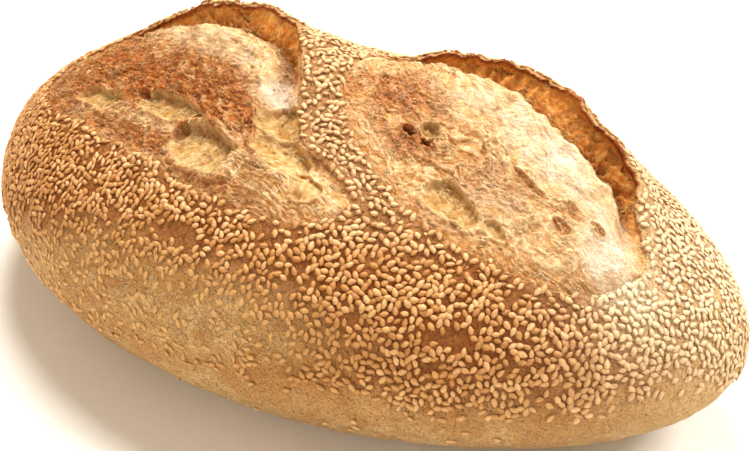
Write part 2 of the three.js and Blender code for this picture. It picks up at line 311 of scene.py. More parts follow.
def crown_height(x, y):
    k = outline(np.arctan2(y / WIDTH, x / LENGTH))
    radius = np.hypot(2 * x / (LENGTH * k), 2 * y / (WIDTH * k))
    rise = np.sqrt(np.maximum(0, 1 - radius * radius))
    return BELLY + CROWN * rise + swelling(x, y, rise)


def over_crown(x, y, height):
    """A point at a height over the smooth crown, measured square to it."""
    step = 0.5
    slope_x = crown_height(x + step, y) - crown_height(x - step, y)
    slope_y = crown_height(x, y + step) - crown_height(x, y - step)
    normal = np.stack([-slope_x, -slope_y, np.full_like(slope_x, 2 * step)], -1)
    normal /= np.linalg.norm(normal, axis=-1, keepdims=True)
    surface = np.stack([x, y, crown_height(x, y)], -1)
    return surface + normal * height[..., None]


def skin(around, up):
    """The whole skin: around is the angle in plan, up runs from the base's edge to 90 degrees."""
    k = outline(around)
    x = LENGTH / 2 * k * np.cos(up) * np.cos(around)
    y = WIDTH / 2 * k * np.cos(up) * np.sin(around)
    rise = np.sin(up)
    above = BELLY + CROWN * rise + swelling(x, y, np.maximum(rise, 0))
    below = np.maximum(0, BELLY + KEEL * rise)
    return np.stack([x, y, np.where(rise < 0, below, above)], -1)


def middle_of_skin():
    """The solids stand on the middle of their box, so the smooth skin is centred the same way."""
    widest = skin(np.linspace(-math.pi, math.pi, 720), np.zeros(720))
    return np.append((widest[:, :2].min(0) + widest[:, :2].max(0)) / 2, 0)


CENTRE = middle_of_skin()


def to_scene(points):
    return (points - CENTRE) * MM


# ---------------------------------------------------------------- a slash's own coordinates


def slash_point(slash, s, t):
    along = s * slash["half"]
    x = slash["centre"][0] + along * ALONG_X - t * ALONG_Y
    y = slash["centre"][1] + along * ALONG_Y + t * ALONG_X
    return x, y


def slash_coordinates(slash, x, y):
    dx = x - slash["centre"][0]
    dy = y - slash["centre"][1]
    return (dx * ALONG_X + dy * ALONG_Y) / slash["half"], dy * ALONG_X - dx * ALONG_Y


# The power that tapers a width to both ends as an ellipse does.
ROUND = 0.5


def taper(s, power):
    return np.maximum(0, 1 - s * s) ** power


def near_edge(slash, s):
    width = slash["near"]["width"]
    wander = EDGE_RAG * crag(EDGE_RAG_SCALE * s * width, NEAR_EDGE_ROW) * taper(s, 1)
    travel = np.stack([s * slash["half"], np.full_like(s, width), np.zeros_like(s)], -1)
    torn = TORN_RAG * layered(travel, *TORN_NEAR) * taper(s, ROUND)
    return wander + torn - width * taper(s, slash["near"]["power"])


def far_edge(slash, s):
    width = slash["far"]["width"]
    start, end, share = slash["far"]["closing"]
    opened = 1 - share * smoothstep(start, end, s)
    wander = FAR_CALMER * EDGE_RAG * crag(EDGE_RAG_SCALE * s * width, FAR_EDGE_ROW) * taper(s, 1)
    travel = np.stack([s * slash["half"], np.full_like(s, -width), np.zeros_like(s)], -1)
    torn = FAR_TORN * TORN_RAG * layered(travel, *TORN_FAR) * taper(s, ROUND)
    return width * taper(s, slash["far"]["power"]) * opened + wander + torn


def ear_strength(slash, s):
    ear = slash["ear"]
    grows = smoothstep(ear["from"], ear["from"] + EAR_FADE, s)
    return grows * (1 - smoothstep(ear["to"] - EAR_FADE, ear["to"], s))


# An edge's direction is taken over so many points each way, so that small tears don't turn it.
EDGE_LOOK = 8


def edge_loop(slash):
    """Points round a slash at even steps: their plan, outward direction, ear strength and s."""
    turn = np.linspace(-math.pi, math.pi, EDGE_STEPS, endpoint=False)
    s = np.cos(turn)
    far = turn > 0
    t = np.where(far, far_edge(slash, s), near_edge(slash, s))
    x, y = slash_point(slash, s, t)
    plan = np.stack([x, y], -1)
    strength = np.where(far, ear_strength(slash, s), 0)
    closed = np.vstack([plan, plan[:1]])
    travelled = np.append(0, np.cumsum(np.linalg.norm(np.diff(closed, axis=0), axis=1)))
    count = int(travelled[-1] / LIP_STEP)
    marks = np.arange(count) * travelled[-1] / count

    def even(values):
        return np.interp(marks, travelled, np.append(values, values[:1]))

    plan = np.stack([even(x), even(y)], -1)
    forward = np.roll(plan, -EDGE_LOOK, axis=0) - np.roll(plan, EDGE_LOOK, axis=0)
    forward /= np.linalg.norm(forward, axis=1, keepdims=True)
    outward = np.stack([forward[:, 1], -forward[:, 0]], -1)
    return {
        "plan": plan,
        "outward": outward,
        "ear": even(strength),
        "s": even(s),
    }


EDGES = {side: edge_loop(slash) for side, slash in SLASHES.items()}


FAR_AWAY = 99.0
SEARCH_ALONG = 16
SEARCH_ACROSS = 62
SEARCH_BATCH = 4000


def distance_to_edge(x, y):
    """Distance out from the nearest slash in mm, below 0 inside it, and the ear's lift there."""
    best = np.full(x.shape, FAR_AWAY)
    lift = np.zeros(x.shape)
    for side, slash in SLASHES.items():
        edge = EDGES[side]
        s, t = slash_coordinates(slash, x, y)
        near = (np.abs(s) < 1 + SEARCH_ALONG / slash["half"]) & (np.abs(t) < SEARCH_ACROSS)
        place = np.stack([x[near], y[near]], -1)
        gap = np.full(len(place), FAR_AWAY)
        pick = np.zeros(len(place), int)
        for start in range(0, len(place), SEARCH_BATCH):
            batch = slice(start, start + SEARCH_BATCH)
            away = np.linalg.norm(place[batch, None] - edge["plan"][None], axis=-1)
            pick[batch] = away.argmin(1)
            gap[batch] = away.min(1)
        sn = np.clip(s[near], -1, 1)
        inside = (np.abs(s[near]) < 1) & (t[near] > near_edge(slash, sn))
        inside &= t[near] < far_edge(slash, sn)
        gap = np.where(inside, -gap, gap)
        closer = gap < best[near]
        best[near] = np.where(closer, gap, best[near])
        raised = edge["ear"][pick] * slash["ear"]["lift"]
        lift[near] = np.where(closer, raised, lift[near])
    return best, lift


# ---------------------------------------------------------------- meshes


def make_mesh(name, points, faces, material, attributes=None):
    """A smooth-shaded mesh object from points in mm, with values stored for its material."""
    mesh = bpy.data.meshes.new(name)
    mesh.from_pydata(to_scene(points).tolist(), [], [list(face) for face in faces])
    mesh.validate()
    for key, values in (attributes or {}).items():
        layer = mesh.attributes.new(key, "FLOAT", "POINT")
        layer.data.foreach_set("value", np.asarray(values, np.float32))
    mesh.polygons.foreach_set("use_smooth", np.ones(len(mesh.polygons), bool))
    if material:
        mesh.materials.append(material)
    piece = bpy.data.objects.new(name, mesh)
    bpy.context.scene.collection.objects.link(piece)
    return piece


def grid_faces(rows, columns, start=0):
    """Quads over a grid of points stored row by row."""
    corner = start + np.arange(rows - 1)[:, None] * columns + np.arange(columns - 1)
    corner = corner.ravel()
    return np.stack([corner, corner + columns, corner + columns + 1, corner + 1], -1)


def grid_normals(points):
    across = np.gradient(points, axis=1)
    along = np.gradient(points, axis=0)
    normal = np.cross(along, across)
    return normal / np.maximum(np.linalg.norm(normal, axis=-1, keepdims=True), 1e-9)


def rim_of_grid(rows, columns):
    """The grid's outer points in order, anticlockwise over its rows and columns."""
    bottom = [(row, 0) for row in range(rows)]
    side = [(rows - 1, column) for column in range(1, columns)]
    top = [(row, columns - 1) for row in range(rows - 2, -1, -1)]
    back = [(0, column) for column in range(columns - 2, 0, -1)]
    return np.array([row * columns + column for row, column in bottom + side + top + back])


def closing_faces(rim, start):
    """Faces from a sheet's rim to a ring of as many points from start on, and to one after it."""
    count = len(rim)
    faces = []
    for i in range(count):
        j = (i + 1) % count
        faces.append((rim[j], rim[i], start + i, start + j))
        faces.append((start + j, start + i, start + count))
    return faces


# ---------------------------------------------------------------- the crust

BASE_UP = -math.asin(BELLY / KEEL)
TOP_UP = math.pi / 2
# The flank below the belly is steep and short, so it gets fewer rows than its angle asks.
BELLY_ROW = 0.8


def crust_grid():
    """Around and up for a square grid that is wrapped over the loaf like a cloth."""
    side = np.linspace(-1, 1, CRUST_GRID + 1)
    u, v = np.meshgrid(side, side, indexing="ij")
    wide = np.abs(u) > np.abs(v)
    radius = np.where(wide, u, v)
    ratio = np.divide(np.where(wide, v, u), radius, out=np.zeros_like(u), where=radius != 0)
    angle = np.where(wide, math.pi / 4 * ratio, math.pi / 2 - math.pi / 4 * ratio)
    x = radius * np.cos(angle)
    y = radius * np.sin(angle)
    reach = np.hypot(x, y)
    around = np.arctan2(y, x)
    above = TOP_UP * (1 - reach / BELLY_ROW)
    below = BASE_UP * (reach - BELLY_ROW) / (1 - BELLY_ROW)
    return around, np.where(reach < BELLY_ROW, above, below)


# How abruptly a patch of the crust ends.
PATCH_EDGE = 1.5


def zone(around, up, middle, size):
    """1 in a patch of the skin, given in degrees, fading to 0 round it."""
    turn = (np.degrees(around) - middle[0] + 180) % 360 - 180
    rise = np.degrees(up) - middle[1]
    return np.exp(-(((turn / size[0]) ** 2 + (rise / size[1]) ** 2) ** PATCH_EDGE))


# Where the seeds stop towards the base: degrees round the loaf, degrees up.
SEED_LINE = np.array(
    [
        (-180, -4), (-160, -14), (-135, -16), (-118, -8), (-98, 0), (-75, 3), (-45, 3),
        (-30, 10), (-14, 6), (-4, -6), (20, -8), (60, -3), (120, -2), (180, -4),
    ],
    float,
)
# Patches of the crust: their middle, then their size, in degrees round the loaf and up. Ghosts
# are seeds that are few and sunk in the crust.
BARE_SPOTS = [((-85, 45), (4, 4)), ((-56, 24), (5, 3)), ((-100, 36), (5, 3))]
GHOST_SPOTS = [((-96, 15), (24, 16)), ((-116, 5), (22, 10)), ((-134, -6), (20, 8))]
RIGHT_END = ((0, 18), (34, 38))
LEFT_END = ((-150, 20), (42, 40))
TOASTED_FLANK = ((-42, 24), (22, 16))

# Degrees up over which parts of the crust come in or go out.
SEED_FADE = (-7, 5)
UPPER_CRUST = (38, 62)
LOW_CRUST = (-28, 24)
# Painted shade: the underside darkens over these degrees up, as the loaf's shadowed belly.
SHADED_UNDERSIDE = (-40, 2)

# Noise on the crust: the size of its lumps in mm, its layers and its salt.
SPECK = (9, 3, 40)
CLUMP = (5, 2, 44)
WAVES = (22, 2, 3)
BUMPS = (6, 2, 7)
BLISTERS = (8, 15)

# How densely the seeds lie, as shares of the densest, and where some stray below them, in mm.
LINE_WANDERS = 5
GHOST_RAGGED = 0.25
GHOST_FROM = 0.05
GHOSTS_THIN = 0.72
SPECKS_THIN = 0.5
CLUMPS_THIN = 0.35
THINNEST = 0.45
TOP_COVER = 0.95
STRAYS = 0.012
STRAYS_ABOVE = 12
SEEDS_ABOVE = 6
SEEDS_FROM_SLASH = 1.0

# How much the crust's patches sink the seeds, how much painted light pales them, and how toasted or dusted
# they are.
RIGHT_SINKS = 0.35
LEFT_SINKS = 0.08
TOP_PAINTED_LIGHT = 0.35
FLANK_TOAST = 0.35
LEFT_TOAST = 0.1
GHOSTS_LOW = 0.9
DUST = 1.1
DUST_CLUMPS = 0.8


def crust_fields(points, around, up, gap):
    """What the crust's material and the seeds read at each point."""
    speck = layered(points, *SPECK)
    clump = layered(points, *CLUMP)
    rise = np.degrees(up)
    line = np.interp(np.degrees(around), SEED_LINE[:, 0], SEED_LINE[:, 1])
    above = smoothstep(*SEED_FADE, rise - line + LINE_WANDERS * speck)
    upper = smoothstep(*UPPER_CRUST, rise)
    ghosts = sum(zone(around, up, *spot) for spot in GHOST_SPOTS)
    ghosts = np.clip(ghosts + GHOST_RAGGED * speck * (ghosts > GHOST_FROM), 0, 1)
    bare = np.clip(sum(zone(around, up, *spot) for spot in BARE_SPOTS), 0, 1)
    right_end = zone(around, up, *RIGHT_END)
    left_end = zone(around, up, *LEFT_END)
    seeded = above * (1 - GHOSTS_THIN * ghosts) * (1 - bare)
    seeded = seeded * np.clip(1.0 + SPECKS_THIN * speck + CLUMPS_THIN * clump, THINNEST, 1)
    seeded = np.maximum(seeded, TOP_COVER * upper) + STRAYS * (points[..., 2] > STRAYS_ABOVE)
    spill_x, spill_y = slash_point(SLASHES["right"], FLOUR_SPILL[0], FLOUR_SPILL[1])
    spilled = np.hypot(points[..., 0] - spill_x, points[..., 1] - spill_y) / FLOUR_SPILL[2]
    toast = np.clip(bare + FLANK_TOAST * zone(around, up, *TOASTED_FLANK), 0, 1)
    high_enough = points[..., 2] > SEEDS_ABOVE
    return {
        "cover": np.where(gap > SEEDS_FROM_SLASH, seeded, 0) * high_enough,
        "proud": np.clip(1 - ghosts - RIGHT_SINKS * right_end - LEFT_SINKS * left_end, 0, 1),
        # Painted light: the right end and the top are paled as if brighter lit.
        "pale": np.clip(right_end + TOP_PAINTED_LIGHT * upper, 0, 1),
        "toast": np.clip(toast + LEFT_TOAST * left_end, 0, 1),
        "low": np.maximum(1 - smoothstep(*LOW_CRUST, rise), GHOSTS_LOW * ghosts),
        "under": 1 - smoothstep(*SHADED_UNDERSIDE, rise),
        "dust": np.clip(np.exp(-(spilled**2)) * (DUST + DUST_CLUMPS * clump), 0, 1),
    }


# Heights of the crust's relief in mm, and the angle in which it dies away over the base.
WAVE_HEIGHT = 0.5
BUMP_HEIGHT = 0.4
BLISTER_HEIGHT = 0.4
BLISTER_FROM = 0.35
BASE_CALM = 0.25

# Near a slash the crust dives under the lip: over which distance, and how deep.
DIVE = (1.2, 3.4)
DIVE_DEPTH = 13
BASE_INSET = 0.965


def crust_relief(points, up):
    """Blisters and grain of the crust, in mm."""
    relief = WAVE_HEIGHT * layered(points, *WAVES) + BUMP_HEIGHT * layered(points, *BUMPS)
    relief += BLISTER_HEIGHT * np.maximum(0, lumps(points, *BLISTERS) - BLISTER_FROM)
    return relief * smoothstep(BASE_UP, BASE_UP + BASE_CALM, up)


def make_crust(material):
    around, up = crust_grid()
    points = skin(around, up)
    normal = grid_normals(points)
    gap, lift = distance_to_edge(points[..., 0], points[..., 1])
    gap = np.where(up > 0, gap, FAR_AWAY)
    raised = lift * (1 - smoothstep(0, EAR_REACH, gap))
    dive = 1 - smoothstep(*DIVE, gap)
    height = crust_relief(points, up) + raised * (1 - dive) - DIVE_DEPTH * dive
    points = points + normal * height[..., None]
    points[..., 2] = np.maximum(points[..., 2], 0)
    fields = crust_fields(points, around, up, gap)

    # The base: a ring inside the sheet's rim, and a point in the middle.
    rim = rim_of_grid(CRUST_GRID + 1, CRUST_GRID + 1)
    flat = points.reshape(-1, 3)
    flat[rim, 2] = 0
    inner = flat[rim] * np.array([BASE_INSET, BASE_INSET, 1])
    faces = grid_faces(CRUST_GRID + 1, CRUST_GRID + 1).tolist()
    faces += closing_faces(rim, len(flat))
    extra = len(rim) + 1
    values = {key: np.append(value.ravel(), np.zeros(extra)) for key, value in fields.items()}
    values["low"][-extra:] = 1
    # The base gets the underside's painted shade in full.
    values["under"][-extra:] = 1
    return make_mesh("crust", np.vstack([flat, inner, [[0, 0, 0]]]), faces, material, values)


# ---------------------------------------------------------------- the blooms


def bloom_base(slash, s, share, t, brink):
    """Height of the bloom over the loaf's smooth surface without its fine relief, and how far
    the top of its wall stays under that surface."""
    ear = ear_strength(slash, s)
    strength = taper(s, ROUND)
    depth = lerp(TROUGH_DEPTH, VALLEY_DEPTH, ear) * strength
    swollen = smoothstep(0, BLOOM_FULL, share)
    fallen = smoothstep(brink, VALLEY_FLOOR, share)
    climbed = smoothstep(WALL_FOOT, WALL_HEAD, share)
    wall_top = lerp(WALL_TOP, EAR_WALL_TOP, ear) * strength * climbed
    height = BLOOM_RISE * strength * swollen * (1 - fallen)
    height = height - depth * fallen * (1 - climbed) - wall_top
    x, y = slash_point(slash, s, t)
    height = height + CRAG * crag(CRAG_SCALE * x, CRAG_SCALE * y) * strength * swollen
    return height, wall_top


# Noise on the blooms: its kind, the size of its lumps in mm or that along the slash, across it
# and upwards, its layers, and its salt, which is added to the bloom's own.
BLOOM_SALT = {"left": 100, "right": 200}
BLOOM_NOISE = {
    "wander": (layered, 6, 3, 0),
    "drift_along": (layered, 12, 2, 5),
    "drift_across": (layered, 12, 2, 9),
    "curl_along": (layered, 3.5, 2, 13),
    "curl_across": (layered, 3.5, 2, 17),
    "speck": (layered, 2.6, 3, 20),
    "cloud": (layered, 9, 3, 24),
    "fibres": (ridges, (2.9, 0.85, 1), 2, 30),
    "curls": (ridges, (9, 2.4, 1), 1, 33),
    "web": (ridges, (1.6, 1.05, 1), 2, 36),
    "grain": (layered, 0.9, 1, 50),
    "folds": (ridges, (15, 6, 1), 2, 54),
    "threads": (ridges, (1.8, 6, 1), 2, 58),
    "pocket": (layered, (12, 7, 1), 3, 66),
    "bites": (layered, 13, 3, 70),
    "nibbles": (layered, 3.1, 2, 72),
    "torn_height": (layered, 9, 3, 74),
    "torn_line": (layered, 16, 3, 80),
}
# Bubbles in the crumb: their size in mm and salt.
BLISTER_BUBBLES = (6.5, 40)
SMALL_BUBBLES = (2.6, 44)
PORE_BUBBLES = (4.2, 60)
PORE_PATCHES = (8, 64)

# How far the patterns are bent, in mm.
DRIFT = 3.5
CURL = 1.3

# How far each pattern stands out of a bloom or sinks into it, in mm, and the height of the
# ridged patterns that counts as level. A name with WALL is for the crumb wall.
FIBRE_RELIEF = 0.75
WEB_RELIEF = 0.6
GRAIN_RELIEF = 0.15
BUBBLE_RELIEF = 0.2
CURL_RELIEF = 0.5
THREAD_RELIEF = 0.6
BLISTER_RELIEF = 0.4
FOLD_RELIEF = 0.7
WALL_FIBRES = 0.3
WALL_WEB = 0.35
WALL_GRAIN = 0.1
WALL_POCKETS = 2.4
WALL_PORES = 1.8
WINDOW_LIP = 0.9
CRISP_EDGE = 0.55
TORN_TOP = 0.9
RIDGES_LEVEL = 0.36
CURLS_LEVEL = 0.15
THREADS_LEVEL = 0.45
BLISTER_LEVEL = 0.4
FOLDS_LEVEL = 0.62

# Where the crumb wall's torn top lies, as a share of the way across, and how far it wanders.
TORN_TOP_AT = 0.93
TORN_TOP_WANDERS = 0.012
TORN_TOP_WIDTH = 0.012
CRISP_WIDTH = 0.016
# How much of its relief a bloom loses at its rim.
RIM_CALM = 0.45
# How unevenly a mark's edge runs, as a share of its size.
MARK_RAGGED = 0.4
# The line where a bloom falls into its valley wanders by this share of the bloom's width.
BRINK_WANDERS = 0.034
# Grid lines along a slash are drawn together towards its ends by this share.
END_CROWDING = 0.45


def bowl(mark, slash, s, t, wander):
    """How far out from a mark's middle each point is: 0 there, 1 at its uneven edge."""
    along = (s - mark[0]) * slash["half"] / mark[2]
    across = (t - mark[1]) / mark[3]
    return np.hypot(along, across) * (1 + MARK_RAGGED * wander)


def patch(marks, slash, s, t, wander):
    """Floured or toasted ground, as strong as the strongest mark at each point."""
    total = 0
    for mark in marks:
        total = np.maximum(total, mark[4] * np.exp(-(bowl(mark, slash, s, t, wander) ** 3)))
    return total


def crest_line(value, middle, width):
    """1 along a line, fading to 0 at both sides of it."""
    return np.exp(-(((value - middle) / width) ** 2))


def bloom_marks(side, s, t, wander):
    """Masks from 0 to 1 for the windows and holes of a bloom, and how deep they sink in mm."""
    slash = SLASHES[side]
    masks = dict.fromkeys(("window", "shaded", "sunk", "lipped", "holed", "gilded"), 0)

    def raise_mask(name, value):
        masks[name] = np.maximum(masks[name], value)

    for mark in WINDOWS[side]:
        depth = mark[4]
        q = bowl(mark, slash, s, t, wander)
        # A window is deepest at the back, under the skin that burst, and shallow in front.
        back = smoothstep(-0.7, 0.7, (t - mark[1]) / mark[3])
        inside = 1 - smoothstep(lerp(0.6, 0.86, back), 1.02, q)
        raise_mask("window", 1 - smoothstep(0.94, 1.02, q))
        raise_mask("sunk", depth * inside * lerp(0.7, 1.25, back))
        # Painted shadow: the back of a deep window is darkened, as under its burst skin.
        shadow = inside * back * smoothstep(0.5, 0.9, q)
        raise_mask("shaded", shadow * np.clip(depth - 1.3, 0, 1))
        raise_mask("lipped", crest_line(q, 1.1, 0.09) * lerp(1, 0.5, back) * min(1, depth / 2))
    for mark in HOLES[side]:
        depth = mark[4]
        q = bowl(mark, slash, s, t, wander)
        inside = 1 - smoothstep(0.35, 1.05, q)
        raise_mask("holed", inside * np.clip((depth - 0.7) / 1.3, 0, 1))
        raise_mask("gilded", 1 - smoothstep(0.9, 1.5, q))
        raise_mask("sunk", depth * inside)
        raise_mask("lipped", 0.6 * crest_line(q, 1.2, 0.2))
    return masks


def make_bloom(side, material):
    """A slash's torn crumb, from under its near lip, over its bulge and down its valley, to the
    top of the crumb wall under the ear."""
    slash = SLASHES[side]

    def noise(name, place):
        kind, size, layers, salt = BLOOM_NOISE[name]
        return kind(place, size, layers, BLOOM_SALT[side] + salt)

    def bubbling(place, size, salt):
        return bubbles(place, size, BLOOM_SALT[side] + salt)

    # The sheet: s along the slash, and t across it, of which share goes from edge to edge.
    along_count, across_count = BLOOM_GRID[side]
    step = np.linspace(-1, 1, along_count)
    crowded = lerp(step, np.sin(step * math.pi / 2), END_CROWDING)
    reach = crowded * (1 + RIM_TUCK / slash["half"])
    share = np.linspace(0, 1, across_count)
    reach, share = np.meshgrid(reach, share, indexing="ij")
    s = np.clip(reach, -1, 1)
    start = near_edge(slash, s) - RIM_TUCK
    ear = ear_strength(slash, s)
    end = far_edge(slash, s) + RIM_TUCK + BLOOM_UNDERCUT * ear
    t = start + (end - start) * share
    strength = taper(s, ROUND)
    travel = np.stack([s * slash["half"], np.zeros_like(t), np.zeros_like(t)], -1)

    # The line where the bloom falls into the valley wanders, with bites torn out of it.
    bites = 0.6 * noise("bites", travel) + 0.4 * noise("nibbles", travel)
    brink = lerp(TROUGH_BRINK, VALLEY_BRINK, ear) + BRINK_WANDERS * bites * ear
    base, wall_top = bloom_base(slash, s, share, t, brink)

    # Patterns follow the surface down into the valley and up its wall, so they aren't drawn out.
    travelled = np.hypot(np.diff(t, axis=1), np.diff(base, axis=1))
    draped = np.cumsum(np.concatenate([t[:, :1], travelled], axis=1), axis=1)
    plan = np.stack([s * slash["half"], draped, np.zeros_like(t)], -1)
    rim = np.maximum(smoothstep(RIM_SHARE, 0, share), smoothstep(1 - RIM_SHARE, 1, share))
    calm = 1 - RIM_CALM * rim
    wander = noise("wander", plan)
    drift = np.stack([noise("drift_along", plan), noise("drift_across", plan)], -1)
    curl = np.stack([noise("curl_along", plan), noise("curl_across", plan)], -1)
    bent = plan.copy()
    bent[..., :2] += DRIFT * drift + CURL * curl

    # Masks, 0 to 1.
    marks = bloom_marks(side, s, t, wander)
    window = marks["window"]
    gilded = marks["gilded"]
    lipped = marks["lipped"]
    speck = noise("speck", bent)
    cloud = noise("cloud", bent)
    flour = patch(FLOURED[side], slash, s, t, wander) + 0.3 * speck + 0.25 * cloud
    flour = np.clip(flour * (1 - 0.9 * gilded), 0, 1)
    toast = patch(TOASTED[side], slash, s, t, wander) * (1 + 0.9 * speck + 0.7 * cloud)
    toast = np.clip(toast + 0.38 * gilded, 0, 1)
    wall = smoothstep(VALLEY_FLOOR - 0.03, WALL_FOOT + 0.02, share) * lerp(0.25, 1, ear)
    valley = smoothstep(brink + 0.04, VALLEY_FLOOR, share) * (1 - smoothstep(0.84, 0.9, share))
    valley = valley * ear

    # Relief, in mm. The texture is what is torn and crisp; the rest is broad and soft.
    fibres = noise("fibres", bent) ** 3
    web = noise("web", bent) ** 3
    curls = noise("curls", bent) ** 7
    grain = noise("grain", plan)
    small = 0.5 - bubbling(bent, *SMALL_BUBBLES)
    texture = FIBRE_RELIEF * (fibres - RIDGES_LEVEL) + WEB_RELIEF * (web - RIDGES_LEVEL)
    texture = texture + GRAIN_RELIEF * grain
    texture = texture + BUBBLE_RELIEF * small + CURL_RELIEF * (curls - CURLS_LEVEL) * (1 - flour)
    texture = texture * lerp(0.8, 0.4, flour) * lerp(1, 1.45, toast)
    # Threads of crumb run across the skin of a window, from its back to its front.
    threads = noise("threads", bent) ** 2
    stretched = THREAD_RELIEF * (threads - THREADS_LEVEL) + GRAIN_RELIEF * grain
    texture = lerp(texture, stretched, window)
    # The crumb wall is an open honeycomb with pores and broad pockets.
    honeycomb = WALL_WEB * (web - RIDGES_LEVEL) + WALL_FIBRES * (fibres - RIDGES_LEVEL)
    honeycomb = honeycomb + WALL_GRAIN * grain
    texture = lerp(texture, honeycomb, wall)
    pores = smoothstep(0.55, 0.2, bubbling(bent, *PORE_BUBBLES))
    size, salt = PORE_PATCHES
    pores = pores * smoothstep(-0.2, 0.3, lumps(plan, size, BLOOM_SALT[side] + salt))
    blister = smoothstep(0.75, 0.1, bubbling(bent, *BLISTER_BUBBLES))
    folds = noise("folds", bent)
    folded = FOLD_RELIEF * (folds - FOLDS_LEVEL) * lerp(1, 0.4, flour)
    soft = BLISTER_RELIEF * (blister - BLISTER_LEVEL) + folded
    hollows = WALL_POCKETS * noise("pocket", plan) - WALL_PORES * pores
    relief = texture + lerp(soft * (1 - window), hollows, wall)
    height = base - marks["sunk"] * calm + WINDOW_LIP * lipped * calm
    height = height + relief * calm * lerp(0.5, 1, strength)
    rim_height = -RIM_STEP - np.maximum(wall_top, 0) + 0.5 * relief * (1 - wall)
    height = lerp(height, rim_height, rim)
    # The bloom's crisp edge curls up, and so does the torn top of the crumb wall.
    crisp = crest_line(share, brink, CRISP_WIDTH) * ear * strength
    height = height + CRISP_EDGE * crisp * (0.8 + bites)
    top_line = TORN_TOP_AT + TORN_TOP_WANDERS * noise("torn_line", travel)
    torn = crest_line(share, top_line, TORN_TOP_WIDTH) * ear * strength
    height = height + TORN_TOP * torn * (0.6 + 0.9 * noise("torn_height", travel))
    x, y = slash_point(slash, reach, t)
    points = over_crown(x, y, height)

    # A closed block: the sheet's rim goes down into the loaf and meets a point there.
    rim_order = rim_of_grid(along_count, across_count)
    flat = points.reshape(-1, 3)
    foot = flat[rim_order] - np.array([0, 0, FOOT_DEPTH])
    middle = flat.mean(0) - np.array([0, 0, MIDDLE_DEPTH])
    faces = grid_faces(along_count, across_count).tolist()
    faces += closing_faces(rim_order, len(flat))

    # Painted shade: the valley, the holes, the wall's pores and the backs of windows are darkened as hollows
    # in shadow.
    valley_shade = 0.8 * valley
    # Partly the crumb's own paleness and partly painted highlight: the relief's crests, the rims of marks
    # and the torn edges are painted lighter.
    pale_crest_and_highlight = smoothstep(-0.25, 0.35, lerp(texture, 2 * texture, wall))
    flaky = np.clip(0.25 + 0.6 * speck + 0.4 * toast - 0.6 * flour, 0, 1)
    stringy = np.clip(valley + 0.8 * wall + 0.5 * window, 0, 1)
    hollow_shade = np.maximum(marks["holed"], valley_shade) + 0.6 * pores * wall + 0.6 * marks["shaded"]
    values = {
        "flour": flour * (1 - 0.9 * window) * (1 - wall),
        "toast": toast * (1 - 0.8 * window),
        "window": window,
        "hollow_shade": np.clip(hollow_shade, 0, 1),
        "wall": wall,
        "pale_crest_and_highlight": np.clip(pale_crest_and_highlight + 0.8 * lipped + 0.25 * torn + 0.4 * crisp, 0, 1),
        "near": smoothstep(7, 1, t - near_edge(slash, s) + 3 * wander),
        "cover": flaky * (1 - window) * calm,
        "stringy": stringy * (share < 0.9) * strength,
        "proud": np.ones_like(t),
    }
    extra = len(rim_order) + 1
    values = {key: np.append(np.ravel(v), np.zeros(extra)) for key, v in values.items()}
    return make_mesh("bloom_" + side, np.vstack([flat, foot, [middle]]), faces, material, values)


# ---------------------------------------------------------------- the lips round the slashes

# The lip's section, from under the crust behind it, over its outside, round its torn edge and
# down its cut face. Each corner gives the distance behind the edge and the height over the
# crust, first for the low torn rim and then for the ear at its full strength.
LIP_SECTION = [
    ((6.8, -0.7), (7.5, -0.7)),
    ((5.2, 0.0), (6.0, 0.0)),
    ((4.2, 0.1), (4.8, 0.1)),
    ((3.2, 0.15), (3.8, 0.2)),
    ((2.3, 0.2), (2.8, 0.25)),
    ((1.5, 0.25), (1.8, 0.3)),
    ((0.8, 0.2), (0.8, 0.2)),
    ((0.3, 0.05), (-0.2, 0.1)),
    ((0.0, -0.2), (-1.0, -0.1)),
    ((-0.1, -0.6), (-1.1, -0.6)),
    ((0.0, -1.1), (-0.5, -1.3)),
    ((0.1, -1.6), (0.3, -2.2)),
    ((0.2, -2.4), (1.2, -3.3)),
    ((0.3, -3.4), (1.9, -4.6)),
    ((0.4, -5.0), (2.5, -6.2)),
    ((0.5, -7.0), (2.9, -8.2)),
    ((4.0, -8.0), (5.0, -9.0)),
]
# The section's corners that matter: the tip, the last one on the outside, and how widely the
# tip's unevenness and its pale torn edge spread, in corners.
LIP_TIP = 8
LIP_OUTSIDE = 6
TIP_SPREAD = 1.6
PALE_SPREAD = 0.7

# Noise along the lips: the size of its lumps in mm, its layers and its salt.
RAGGED = (9, 4, 300)
NICKS = (1.7, 2, 310)

# The burnt cut is a line under the tip, with baked crumb below it from one corner to another. It
# is broader towards a slash's right end, between these two values of s.
BURNT_LINE = (LIP_TIP + 1.2, LIP_TIP + 3.5)
BURNT_END = (0.1, 0.7)
BURNT_BROADER = 2
# How strong the marks of a lip are where there is no ear.
LOW_RIM = 0.3


